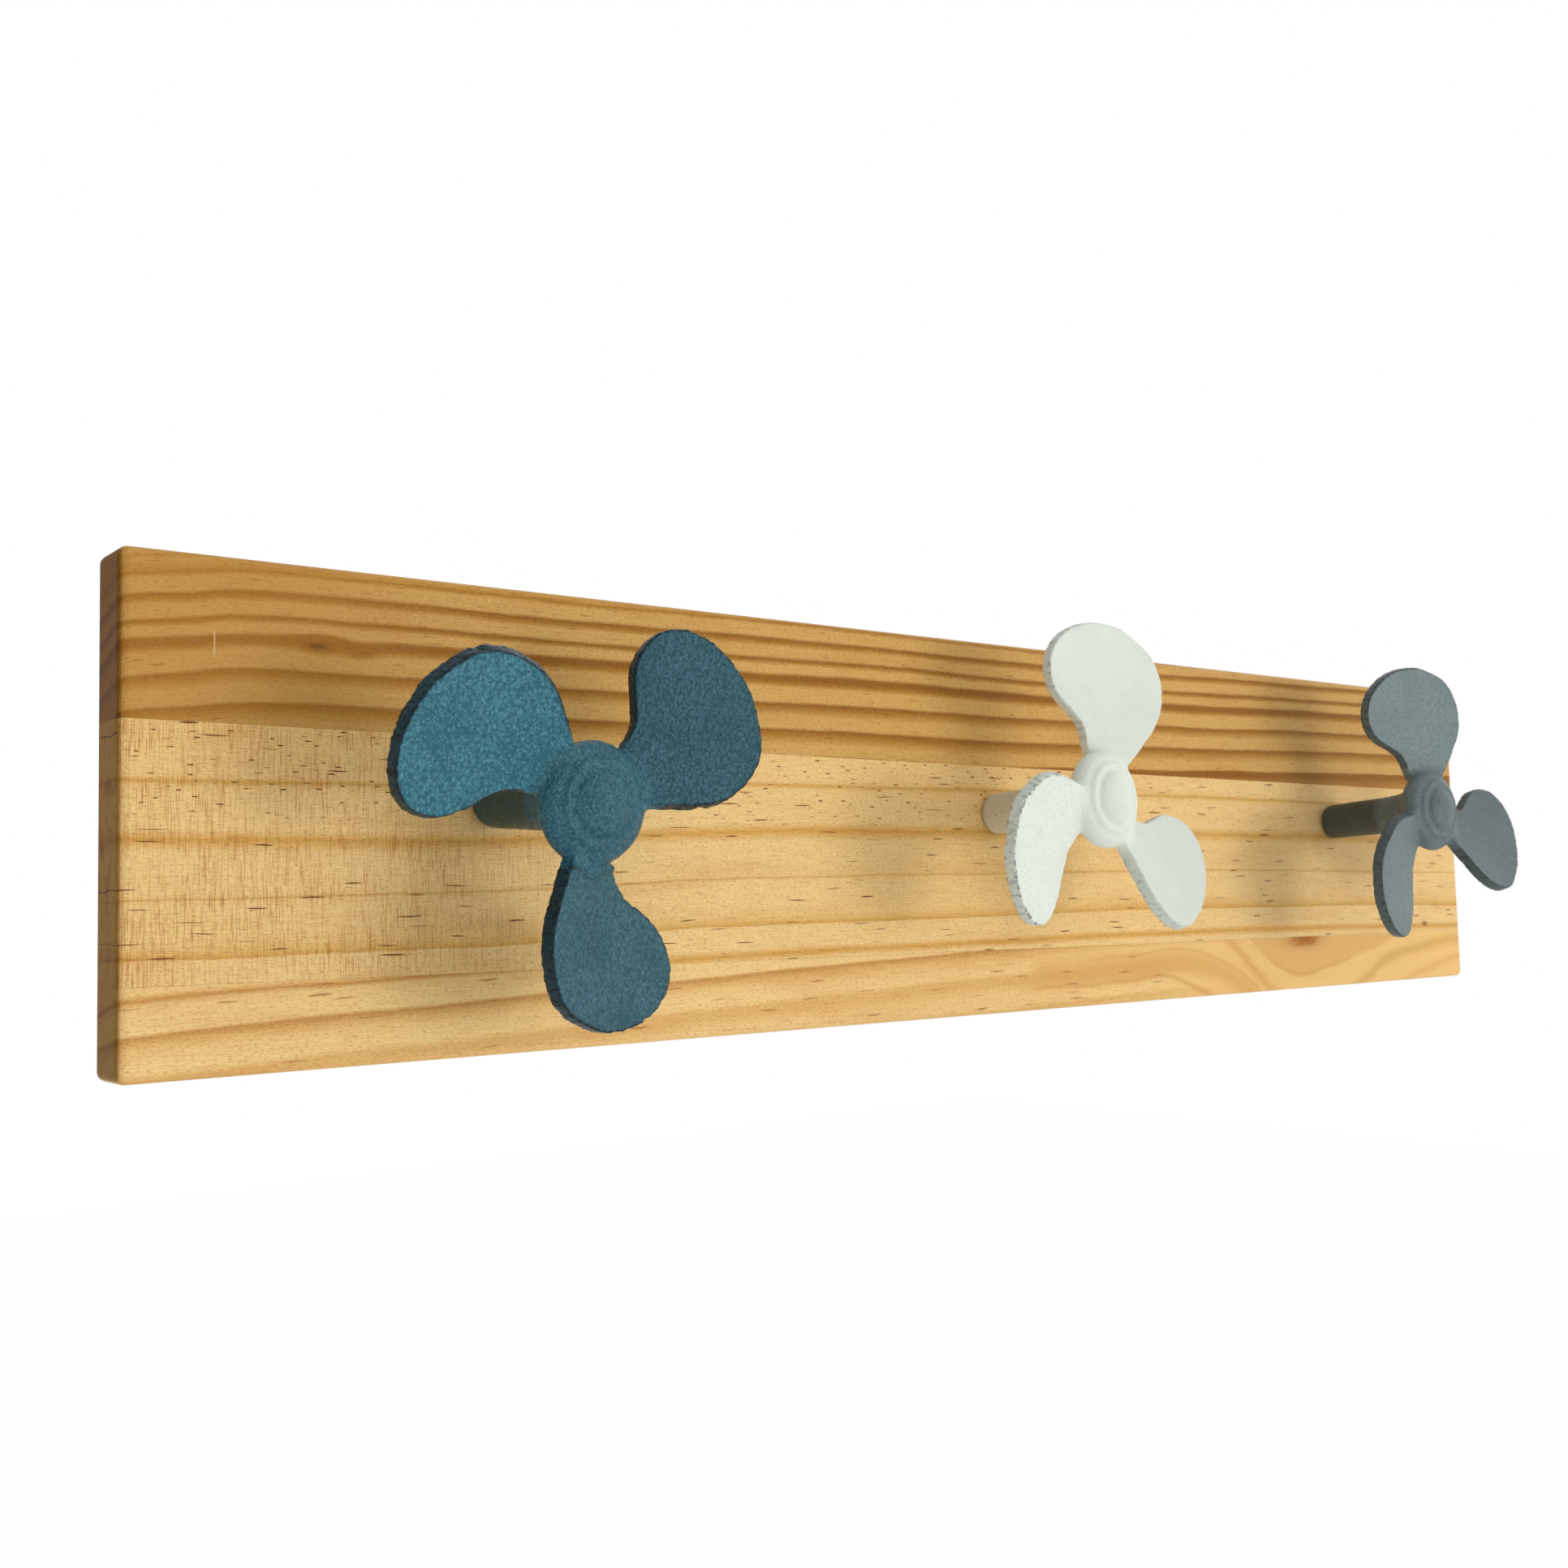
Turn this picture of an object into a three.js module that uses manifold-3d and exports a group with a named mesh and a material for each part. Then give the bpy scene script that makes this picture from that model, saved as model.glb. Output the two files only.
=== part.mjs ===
// Wall coat rack: a glued pine board carrying three cast-iron hooks shaped like
// three-bladed ship's propellers.
//
// Millimetres, +Z up. X runs along the board, the front of the rack faces -Y and the
// back of the board lies in the plane y = 0, against the wall. The origin is on the
// back face, at mid-length, on the height line of the two keyhole hanger plates.
//
// Each hook is one casting (stem, hub and three blades) drawn up against the front of
// the board by a machine screw that comes through from a counterbore in the back, with
// a flat washer and a split lock washer under its head. A hook turns about that screw.

import * as THREE from 'three';
import { mergeVertices } from 'three/addons/utils/BufferGeometryUtils.js';
import Module from 'manifold-3d';

const wasm = await Module();
wasm.setup();

// ---------------------------------------------------------------- driving dimensions

// board
const BOARD_LENGTH = 600;
const BOARD_HEIGHT = 130;
const BOARD_THICKNESS = 18;
const BOARD_TOP_Z = 20;                    // top edge above the hanger line
const EDGE_ROUND = 2.6;                    // eased long edges
// glue lines between the staves: height at mid-length and fall per mm along the board,
// because the glued panel was trimmed a little out of line with its strips
const UPPER_GLUE = { mid: -23.9, slope: -0.005 };
const LOWER_GLUE = { mid: -88.0, slope: -0.0035 };
const GLUE_THICKNESS = 0.1;                // left open between one stave and the next

// hooks: screw axis on the board, clocking of the first blade (clockwise from up, seen
// from the front), and how far the hand-ground stem end lets the hook lean from square,
// towards its first blade and to that blade's right
const HOOK_Z = -40.7;
const HOOKS = [
  { name: 'blue', x: -200, clock: 174.9, lean: 4.45, side: -3.64, color: 0x3c6274 },
  { name: 'white', x: -3, clock: 7.0, lean: 3.0, side: 3.79, color: 0xd9ddda },
  { name: 'grey', x: 200, clock: -11.5, lean: 2.69, side: -0.97, color: 0x76858b },
];
const STEM_GAP = 0.3;                      // stem end face to the front of the board
const STEM_BASE_R = 7.1;
const STEM_HEAD_R = 7.4;

// hub of the casting, as [distance from the board, radius]
const HUB_PROFILE = [
  [27, 7.45], [33, 7.8], [37.5, 8.7], [39.8, 10.1], [41.5, 12.0], [43.4, 14.2], [46, 16.1], [48.3, 15.8],
  [50.1, 14.3], [50.9, 12.5], [51.9, 11.5], [52.2, 10.6], [51.8, 9.6], [51.9, 8.9],
  [53.2, 7.8], [54.5, 5.0],
];
const DOME_TIP = 55.2;

// propeller blade: flat plate with its pitch, rake and a slight cup
const BLADE_COUNT = 3;
const BLADE_THICKNESS = 3.9;
const BLADE_PITCH = 18.44;                 // degrees at 30 mm radius
const BLADE_TWIST = -0.236;                // degrees per mm of radius
const BLADE_RAKE = 0.103;                  // mm forward per mm of radius
const BLADE_PLANE = 46.8;                  // from the board, at 30 mm radius
const BLADE_CUP = 0.001;                   // 1/mm
// outline of one blade as [radius along the blade, distance across it]
const BLADE_OUTLINE = [
  [11.8, -1.1], [13.5, -4.6], [17.0, -6.4], [20.7, -7.4], [24.2, -9.3], [26.8, -12.2],
  [29.1, -15.4], [31.4, -18.6], [34.1, -21.5], [37.4, -23.6], [41.1, -24.8], [45.1, -25.0],
  [48.8, -23.8], [52.0, -21.6], [54.5, -18.5], [56.4, -15.1], [57.6, -11.4], [58.3, -7.5],
  [58.5, -3.5], [58.3, 0.4], [57.6, 4.3], [56.1, 7.9], [54.3, 11.4], [52.3, 14.8],
  [49.6, 17.7], [46.3, 19.8], [42.6, 21.2], [38.8, 21.9], [34.8, 22.1], [30.9, 21.5],
  [27.2, 20.2], [23.8, 18.3], [20.5, 16.1], [17.2, 13.9], [14.0, 11.7], [11.0, 9.1],
  [8.8, 5.9], [9.6, 2.2],
];
const BLADE_SPINE = [[14, 2], [46, -1]];   // the blade faces are meshed around this line

// M6 x 25 pan head machine screw, seen from its head
const SCREW_R = 2.9;
const SCREW_TIP_Y = -29.4;
const SCREW_HEAD_R = 5.9;
const SCREW_HEAD_FACE_Y = -0.9;
const SCREW_SEAT_Y = -4.4;                 // underside of the head
const RECESS_DEPTH = 2.0;
const TAPPED_HOLE_R = 3.1;
const TAPPED_HOLE_END = 12.6;              // from the front of the board into the stem
const CLEARANCE_HOLE_R = 3.5;
const COUNTERBORE_R = 8;
const COUNTERBORE_FLOOR_Y = -8;
const FLAT_WASHER = { inner: 3.3, outer: 6.4, back: -6.5, front: -7.9 };
const LOCK_WASHER = { inner: 3.2, outer: 5.6, back: -4.65, front: -6.05, slotHalf: 0.1, lead: 0.3 };

// keyhole hanger plates, let in flush with the back of the board
const HANGER_X = 250;
const PLATE = { width: 45, height: 16, corner: 3, outer: -0.1, inner: -1.6 };
const KEY_OPENING_R = 4.25;                // passes a wall screw's head
const KEY_SLOT_HALF = 2.1;                 // rests on its shank
const KEY_OPENING_Z = -3.2;
const KEY_SLOT_TOP_Z = 4.0;
const PLATE_SCREW_X = 17;
const LET_IN = { clearance: 0.3, floor: -1.9 };
const HEAD_POCKET = { half: 6.3, bottom: -7.6, top: 7.6, floor: -9 };
const WOOD_SCREW = { head: 2.9, shank: 1.35, face: -0.25, neck: -1.75, tip: -12.6, point: 2.6 };
const PILOT_R = 1.65;

// ---------------------------------------------------------------- helpers

// closed geometry -> solid
function solid(geometry) {
  let g = geometry.clone();
  for (const name of Object.keys(g.attributes)) if (name !== 'position') g.deleteAttribute(name);
  g = mergeVertices(g, 1e-4);
  const out = new wasm.Manifold(new wasm.Mesh({
    numProp: 3,
    vertProperties: new Float32Array(g.attributes.position.array),
    triVerts: new Uint32Array(g.index.array),
  }));
  return out;
}

// solid -> geometry
function shape(man) {
  const m = man.getMesh();
  const g = new THREE.BufferGeometry();
  const n = m.vertProperties.length / m.numProp;
  const pos = new Float32Array(n * 3);
  for (let i = 0; i < n; i++) for (let k = 0; k < 3; k++) pos[3 * i + k] = m.vertProperties[m.numProp * i + k];
  g.setAttribute('position', new THREE.BufferAttribute(pos, 3));
  g.setIndex(new THREE.BufferAttribute(new Uint32Array(m.triVerts), 1));
  return g;
}

// a turned piece about the Y axis: profile of [radius, y] from the axis and back to it,
// or a closed ring; y falls along the profile, so it is turned over to face outwards
function turned(profile, segments) {
  const pts = profile.map(([r, y]) => new THREE.Vector2(r, -y));
  const g = new THREE.LatheGeometry(pts, segments);
  g.rotateX(Math.PI);
  return g;
}

// a pin about the Y axis
function pin(r, yBack, yFront, segments) {
  return turned([[0, yBack], [r, yBack], [r, yFront], [0, yFront]], segments);
}

// an outline in the XZ plane (as a THREE.Shape in x, y) given depth along -Y
function plateOf(outline, yBack, yFront, options = {}) {
  const g = new THREE.ExtrudeGeometry(outline, { depth: yBack - yFront, bevelEnabled: false, curveSegments: 10, ...options });
  g.rotateX(Math.PI / 2);
  g.translate(0, yBack, 0);
  return g;
}

function roundedRectangle(x0, z0, x1, z1, r) {
  const s = new THREE.Shape();
  s.moveTo(x0 + r, z0);
  s.lineTo(x1 - r, z0);
  s.absarc(x1 - r, z0 + r, r, -Math.PI / 2, 0);
  s.lineTo(x1, z1 - r);
  s.absarc(x1 - r, z1 - r, r, 0, Math.PI / 2);
  s.lineTo(x0 + r, z1);
  s.absarc(x0 + r, z1 - r, r, Math.PI / 2, Math.PI);
  s.lineTo(x0, z0 + r);
  s.absarc(x0 + r, z0 + r, r, Math.PI, Math.PI * 1.5);
  return s;
}

const group = new THREE.Group();

function add(name, geometry, look, position = [0, 0, 0]) {
  const g = geometry.clone();
  g.computeVertexNormals();
  const mesh = new THREE.Mesh(g, new THREE.MeshStandardMaterial(look));
  mesh.name = name;
  mesh.position.set(...position);
  group.add(mesh);
  return mesh;
}

const WOOD = { color: 0xd9a55c, roughness: 0.55, metalness: 0 };
const WOOD_PALE = { color: 0xdfb878, roughness: 0.55, metalness: 0 };
const ZINC = { color: 0xb9bcc0, roughness: 0.35, metalness: 1 };
const SPRING_STEEL = { color: 0x6f7276, roughness: 0.4, metalness: 1 };
const BRASSED = { color: 0xc2a35a, roughness: 0.35, metalness: 1 };

// ---------------------------------------------------------------- board

const boardBottomZ = BOARD_TOP_Z - BOARD_HEIGHT;

// the whole board with its edges eased, before it is divided into staves
function boardBlank() {
  const r = EDGE_ROUND;
  const outline = roundedRectangle(
    -BOARD_LENGTH / 2 + r, boardBottomZ + r, BOARD_LENGTH / 2 - r, BOARD_TOP_Z - r, 0.6);
  const g = new THREE.ExtrudeGeometry(outline, {
    depth: BOARD_THICKNESS - 2 * r, bevelEnabled: true, bevelThickness: r, bevelSize: r,
    bevelSegments: 3, curveSegments: 2,
  });
  g.rotateX(Math.PI / 2);
  g.translate(0, -r, 0);
  return solid(g);
}

let cuts = null;
const cut = (g) => { const s = solid(g); cuts = cuts ? cuts.add(s) : s; };

// screw holes for the hooks
for (const h of HOOKS) {
  const hole = pin(CLEARANCE_HOLE_R, 5, -BOARD_THICKNESS - 5, 18);
  hole.translate(h.x, 0, HOOK_Z);
  cut(hole);
  const bore = pin(COUNTERBORE_R, 5, COUNTERBORE_FLOOR_Y, 24);
  bore.translate(h.x, 0, HOOK_Z);
  cut(bore);
}

// let-in recesses, head pockets and pilot holes for the hanger plates
for (const side of [-1, 1]) {
  const x = side * HANGER_X;
  const c = LET_IN.clearance;
  cut(plateOf(roundedRectangle(
    x - PLATE.width / 2 - c, -PLATE.height / 2 - c, x + PLATE.width / 2 + c, PLATE.height / 2 + c,
    PLATE.corner + c), 5, LET_IN.floor, { curveSegments: 2 }));
  cut(plateOf(roundedRectangle(
    x - HEAD_POCKET.half, HEAD_POCKET.bottom, x + HEAD_POCKET.half, HEAD_POCKET.top, 5.5),
  1, HEAD_POCKET.floor, { curveSegments: 3 }));
  for (const s of [-1, 1]) {
    const hole = pin(PILOT_R, 1, WOOD_SCREW.tip - 1.4, 8);
    hole.translate(x + s * PLATE_SCREW_X, 0, 0);
    cut(hole);
  }
}

const board = boardBlank().subtract(cuts);
const above = { mid: BOARD_TOP_Z + 10, slope: 0 };
const below = { mid: boardBottomZ - 10, slope: 0 };
const staves = [
  ['board_upper_stave', UPPER_GLUE, above, WOOD],
  ['board_middle_stave', LOWER_GLUE, UPPER_GLUE, WOOD_PALE],
  ['board_lower_stave', below, LOWER_GLUE, WOOD],
];
for (const [name, bottom, top, look] of staves) {
  const reach = BOARD_LENGTH;
  const low = bottom.mid + GLUE_THICKNESS / 2;
  const high = top.mid - GLUE_THICKNESS / 2;
  const strip = new THREE.Shape([
    new THREE.Vector2(-reach, low - bottom.slope * reach),
    new THREE.Vector2(reach, low + bottom.slope * reach),
    new THREE.Vector2(reach, high + top.slope * reach),
    new THREE.Vector2(-reach, high - top.slope * reach),
  ]);
  add(name, shape(board.intersect(solid(plateOf(strip, 50, -50)))), look);
}

// ---------------------------------------------------------------- propeller hooks

// Casting in its own frame: x to the right of the first blade, y along that blade, z
// along the hub axis away from the board, with z = 0 at the front of the board.
function hubAndStem() {
  const profile = [
    new THREE.Vector2(0, -3), new THREE.Vector2(STEM_BASE_R, -3), new THREE.Vector2(STEM_BASE_R, 2),
    ...HUB_PROFILE.map(([a, r]) => new THREE.Vector2(r, a)),
    new THREE.Vector2(0, DOME_TIP),
  ];
  profile[3] = new THREE.Vector2(STEM_HEAD_R, HUB_PROFILE[0][0]);
  const g = new THREE.LatheGeometry(profile, 22);
  g.rotateX(Math.PI / 2);                  // lathe axis y -> casting axis z
  return g;
}

// point on the blade at radius u, across v, on its front (+1) or back (-1) face
function bladePoint(u, v, side) {
  const pitch = THREE.MathUtils.degToRad(BLADE_PITCH + BLADE_TWIST * (u - 30));
  const h = side * BLADE_THICKNESS / 2 + BLADE_CUP * v * v;
  const across = v * Math.cos(pitch) - h * Math.sin(pitch);
  const axial = BLADE_PLANE + BLADE_RAKE * (u - 30) + v * Math.sin(pitch) + h * Math.cos(pitch);
  return [across, u, axial];
}

// closed mesh of one blade pointing along +y
function bladeGeometry() {
  const n = BLADE_OUTLINE.length;
  const [s0, s1] = BLADE_SPINE.map(([u, v]) => new THREE.Vector2(u, v));
  const line = new THREE.Vector2().subVectors(s1, s0);
  const rings = [1, 0.5].map((k) => BLADE_OUTLINE.map(([u, v]) => {
    const p = new THREE.Vector2(u, v);
    const t = THREE.MathUtils.clamp(p.clone().sub(s0).dot(line) / line.lengthSq(), 0, 1);
    const foot = s0.clone().addScaledVector(line, t);
    return foot.lerp(p, k);
  }));
  const inner = THREE.ShapeUtils.triangulateShape(rings[1], []);
  const positions = [];
  const at = [];                           // at[side][ring][i] -> vertex number
  for (const side of [-1, 1]) {
    const bySide = rings.map((ring) => ring.map((p) => {
      positions.push(...bladePoint(p.x, p.y, side));
      return positions.length / 3 - 1;
    }));
    at.push(bySide);
  }
  const index = [];
  const quad = (a, b, c, d) => index.push(a, b, c, a, c, d);
  for (let i = 0; i < n; i++) {
    const j = (i + 1) % n;
    const [back, front] = at;
    quad(front[0][i], front[1][i], front[1][j], front[0][j]);
    quad(back[0][j], back[1][j], back[1][i], back[0][i]);
    quad(back[0][i], front[0][i], front[0][j], back[0][j]);
  }
  for (const [a, b, c] of inner) {
    index.push(at[1][1][a], at[1][1][c], at[1][1][b]);
    index.push(at[0][1][a], at[0][1][b], at[0][1][c]);
  }
  const g = new THREE.BufferGeometry();
  g.setAttribute('position', new THREE.BufferAttribute(new Float32Array(positions), 3));
  g.setIndex(index);
  if (volume(g) < 0) {                     // outline runs the other way round
    const t = g.index.array;
    for (let i = 0; i < t.length; i += 3) [t[i + 1], t[i + 2]] = [t[i + 2], t[i + 1]];
  }
  return g;
}

// signed volume of a closed indexed geometry
function volume(g) {
  const p = g.attributes.position;
  const t = g.index.array;
  const v = [0, 1, 2].map(() => new THREE.Vector3());
  let sum = 0;
  for (let i = 0; i < t.length; i += 3) {
    v.forEach((q, k) => q.fromBufferAttribute(p, t[i + k]));
    sum += v[0].dot(v[1].clone().cross(v[2])) / 6;
  }
  return sum;
}

function castingGeometry(h) {
  let body = solid(hubAndStem());
  for (let i = 0; i < BLADE_COUNT; i++) {
    const g = bladeGeometry();
    g.rotateZ(-i * 2 * Math.PI / BLADE_COUNT);
    body = body.add(solid(g));
  }
  // turn the casting onto the board: right, up and outward directions of this hook
  const c = THREE.MathUtils.degToRad(h.clock);
  const lean = THREE.MathUtils.degToRad(h.lean);
  const side = THREE.MathUtils.degToRad(h.side);
  const up0 = new THREE.Vector3(Math.sin(c), 0, Math.cos(c));
  const right0 = new THREE.Vector3(Math.cos(c), 0, -Math.sin(c));
  const out = new THREE.Vector3(0, -1, 0).multiplyScalar(Math.cos(lean) * Math.cos(side))
    .addScaledVector(up0, Math.sin(lean)).addScaledVector(right0, Math.sin(side)).normalize();
  const up = up0.clone().addScaledVector(out, -up0.dot(out)).normalize();
  const right = new THREE.Vector3().crossVectors(up, out).normalize();
  const g = shape(body);
  g.applyMatrix4(new THREE.Matrix4().makeBasis(right, up, out));
  // square, slightly rounded end face on the board side
  const seat = turned([
    [0, -STEM_GAP], [STEM_BASE_R - 1.5, -STEM_GAP], [STEM_BASE_R - 0.5, -STEM_GAP - 0.5],
    [STEM_BASE_R, -STEM_GAP - 1.5], [STEM_BASE_R + 0.7, -STEM_GAP - 2.9], [90, -24], [90, -90], [0, -90],
  ], 22);
  // tapped hole for the screw, square to the board
  const hole = pin(TAPPED_HOLE_R, 3, -TAPPED_HOLE_END, 16);
  return shape(solid(g).intersect(solid(seat)).subtract(solid(hole)));
}

for (const h of HOOKS) {
  add(`${h.name}_propeller_hook`, castingGeometry(h),
    { color: h.color, roughness: 0.5, metalness: 0.1 }, [h.x, -BOARD_THICKNESS, HOOK_Z]);
}

// ---------------------------------------------------------------- hook fasteners

function machineScrew() {
  const r = SCREW_R;
  const H = SCREW_HEAD_R;
  const body = solid(turned([
    [0, SCREW_HEAD_FACE_Y], [H * 0.7, SCREW_HEAD_FACE_Y - 0.2], [H * 0.94, SCREW_HEAD_FACE_Y - 1.1],
    [H, SCREW_HEAD_FACE_Y - 2.2], [H, SCREW_SEAT_Y], [r, SCREW_SEAT_Y],
    [r, SCREW_TIP_Y + 0.8], [r - 0.7, SCREW_TIP_Y], [0, SCREW_TIP_Y],
  ], 16));
  // cross recess, narrowing towards its floor
  let recess = null;
  for (const turn of [0, Math.PI / 2]) {
    const s = new THREE.Shape();
    s.moveTo(-3.1, 0.5);
    s.lineTo(-1.5, -RECESS_DEPTH);
    s.lineTo(1.5, -RECESS_DEPTH);
    s.lineTo(3.1, 0.5);
    const g = new THREE.ExtrudeGeometry(s, { depth: 1.1, bevelEnabled: false });
    g.translate(0, 0, -0.55);
    g.translate(0, SCREW_HEAD_FACE_Y, 0);
    g.rotateY(turn);
    const arm = solid(g);
    recess = recess ? recess.add(arm) : arm;
  }
  return shape(body.subtract(recess));
}

function flatWasher() {
  const w = FLAT_WASHER;
  return turned([
    [w.inner, w.back], [w.outer, w.back], [w.outer, w.front], [w.inner, w.front], [w.inner, w.back],
  ], 20);
}

// split ring whose two ends stand a little apart along the screw
function lockWasher() {
  const w = LOCK_WASHER;
  const s = new THREE.Shape();
  s.absarc(0, 0, w.outer, w.slotHalf, Math.PI * 2 - w.slotHalf, false);
  s.absarc(0, 0, w.inner, Math.PI * 2 - w.slotHalf * 1.7, w.slotHalf * 1.7, true);
  const depth = w.back - w.front - w.lead;
  const g = new THREE.ExtrudeGeometry(s, { depth, bevelEnabled: false, curveSegments: 16 });
  const p = g.attributes.position;
  for (let i = 0; i < p.count; i++) {
    let a = Math.atan2(p.getY(i), p.getX(i));
    if (a < 0) a += Math.PI * 2;
    p.setZ(i, p.getZ(i) + w.lead * a / (Math.PI * 2));
  }
  g.rotateX(Math.PI / 2);
  g.translate(0, w.back, 0);
  return g;
}

for (const h of HOOKS) {
  const at = [h.x, 0, HOOK_Z];
  add(`${h.name}_hook_screw`, machineScrew(), ZINC, at);
  add(`${h.name}_hook_lock_washer`, lockWasher(), SPRING_STEEL, at);
  add(`${h.name}_hook_flat_washer`, flatWasher(), ZINC, at);
}

// ---------------------------------------------------------------- hanger plates

function hangerPlate() {
  const p = PLATE;
  const s = roundedRectangle(-p.width / 2, -p.height / 2, p.width / 2, p.height / 2, p.corner);
  // round opening with a slot running up from it
  const k = new THREE.Path();
  const meet = Math.asin(KEY_SLOT_HALF / KEY_OPENING_R);
  k.moveTo(KEY_SLOT_HALF, KEY_OPENING_Z + KEY_OPENING_R * Math.cos(meet));
  k.lineTo(KEY_SLOT_HALF, KEY_SLOT_TOP_Z);
  k.absarc(0, KEY_SLOT_TOP_Z, KEY_SLOT_HALF, 0, Math.PI, false);
  k.lineTo(-KEY_SLOT_HALF, KEY_OPENING_Z + KEY_OPENING_R * Math.cos(meet));
  k.absarc(0, KEY_OPENING_Z, KEY_OPENING_R, Math.PI / 2 + meet, Math.PI * 2.5 - meet, false);
  s.holes.push(k);
  let plate = solid(plateOf(s, p.outer, p.inner, { curveSegments: 5 }));
  // countersunk screw holes
  for (const side of [-1, 1]) {
    const w = WOOD_SCREW;
    const g = turned([
      [0, 1], [w.head + 1.6, 1], [w.head + 0.3, w.face + 0.05], [w.shank + 0.3, w.neck], [w.shank + 0.3, -4], [0, -4],
    ], 12);
    g.translate(side * PLATE_SCREW_X, 0, 0);
    plate = plate.subtract(solid(g));
  }
  return shape(plate);
}

function woodScrew() {
  const w = WOOD_SCREW;
  const body = solid(turned([
    [0, w.face], [w.head, w.face], [w.shank, w.neck], [w.shank, w.tip + w.point], [0, w.tip],
  ], 10));
  let recess = null;
  for (const turn of [0, Math.PI / 2]) {
    const s = new THREE.Shape();
    s.moveTo(-1.7, 0.4);
    s.lineTo(-0.7, -0.9);
    s.lineTo(0.7, -0.9);
    s.lineTo(1.7, 0.4);
    const g = new THREE.ExtrudeGeometry(s, { depth: 0.7, bevelEnabled: false });
    g.translate(0, 0, -0.35);
    g.translate(0, w.face, 0);
    g.rotateY(turn + Math.PI / 4);
    const arm = solid(g);
    recess = recess ? recess.add(arm) : arm;
  }
  return shape(body.subtract(recess));
}

for (const [side, x] of [['left', -HANGER_X], ['right', HANGER_X]]) {
  add(`${side}_keyhole_hanger`, hangerPlate(), BRASSED, [x, 0, 0]);
  add(`${side}_hanger_screw_outer`, woodScrew(), BRASSED, [x + Math.sign(x) * PLATE_SCREW_X, 0, 0]);
  add(`${side}_hanger_screw_inner`, woodScrew(), BRASSED, [x - Math.sign(x) * PLATE_SCREW_X, 0, 0]);
}

export default group;
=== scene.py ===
"""Looks of the propeller-hook coat rack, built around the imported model.

Metres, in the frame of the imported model: +Z up, the front of the rack faces -Y, the back
of the board lies in y = 0. Lengths in this file are millimetres until a mesh is made.
"""

import math

import bmesh
import bpy
import numpy as np
from mathutils import Matrix, Vector


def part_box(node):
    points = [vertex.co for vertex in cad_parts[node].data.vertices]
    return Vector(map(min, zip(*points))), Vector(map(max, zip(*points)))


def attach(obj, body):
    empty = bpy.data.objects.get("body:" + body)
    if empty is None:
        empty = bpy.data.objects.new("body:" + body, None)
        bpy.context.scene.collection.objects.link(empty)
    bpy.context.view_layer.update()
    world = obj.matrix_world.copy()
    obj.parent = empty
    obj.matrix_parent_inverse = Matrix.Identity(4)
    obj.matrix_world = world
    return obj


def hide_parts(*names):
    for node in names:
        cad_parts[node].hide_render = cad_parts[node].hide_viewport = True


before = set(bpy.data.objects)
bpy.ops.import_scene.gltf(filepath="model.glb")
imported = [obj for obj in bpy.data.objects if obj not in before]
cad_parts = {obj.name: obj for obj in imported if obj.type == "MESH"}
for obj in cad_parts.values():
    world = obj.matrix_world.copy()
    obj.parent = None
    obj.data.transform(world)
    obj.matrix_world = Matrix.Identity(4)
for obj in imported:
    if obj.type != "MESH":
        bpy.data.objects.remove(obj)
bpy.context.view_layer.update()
scene = bpy.context.scene
MM = 0.001

# ------------------------------------------------------------------ sizes

BOARD_LENGTH, BOARD_HEIGHT, BOARD_THICKNESS, BOARD_TOP = 600.0, 130.0, 18.0, 20.0
EDGE_ROUND = 2.6
UPPER_GLUE = (-23.9, -0.005)
LOWER_GLUE = (-88.0, -0.0035)
GLUE = 0.04

HOOKS = {
    # name: clock of the first blade, lean towards it, lean to its right (degrees)
    "blue": (174.9, 4.45, -3.64),
    "white": (7.0, 3.0, 3.79),
    "grey": (-11.5, 2.69, -0.97),
}
STEM_BASE_R, STEM_HEAD_R = 7.1, 7.4
HUB_PROFILE = [
    (27, 7.4), (33, 7.8), (37.5, 8.7), (39.8, 10.1), (41.5, 12.0), (43.4, 14.2), (46, 16.1), (48.3, 15.8),
    (50.1, 14.3), (50.9, 12.5), (51.9, 11.5), (52.2, 10.6), (51.8, 9.6), (51.9, 8.9),
    (53.2, 7.8), (54.5, 5.0), (55.05, 2.4), (55.2, 0.0),
]
BLADE_THICKNESS = 3.9
BLADE_PITCH, BLADE_TWIST = 18.44, -0.236
BLADE_RAKE, BLADE_PLANE, BLADE_CUP = 0.103, 46.8, 0.001
BLADE_OUTLINE = [
    (11.8, -1.1), (13.5, -4.6), (17.0, -6.4), (20.7, -7.4), (24.2, -9.3), (26.8, -12.2),
    (29.1, -15.4), (31.4, -18.6), (34.1, -21.5), (37.4, -23.6), (41.1, -24.8), (45.1, -25.0),
    (48.8, -23.8), (52.0, -21.6), (54.5, -18.5), (56.4, -15.1), (57.6, -11.4), (58.3, -7.5),
    (58.5, -3.5), (58.3, 0.4), (57.6, 4.3), (56.1, 7.9), (54.3, 11.4), (52.3, 14.8),
    (49.6, 17.7), (46.3, 19.8), (42.6, 21.2), (38.8, 21.9), (34.8, 22.1), (30.9, 21.5),
    (27.2, 20.2), (23.8, 18.3), (20.5, 16.1), (17.2, 13.9), (14.0, 11.7), (11.0, 9.1),
    (8.8, 5.9), (9.6, 2.2),
]
BLADE_SPINE = ((14.0, 2.0), (46.0, -1.0))

SCREW_R, SCREW_TIP_Y = 2.9, -29.4
SCREW_HEAD_R, SCREW_HEAD_FACE_Y, SCREW_SEAT_Y = 5.9, -0.9, -4.4
TAPPED_HOLE_R, TAPPED_HOLE_END = 3.1, 12.6
CLEARANCE_HOLE_R, COUNTERBORE_R, COUNTERBORE_FLOOR_Y = 3.5, 8.0, -8.0

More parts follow.
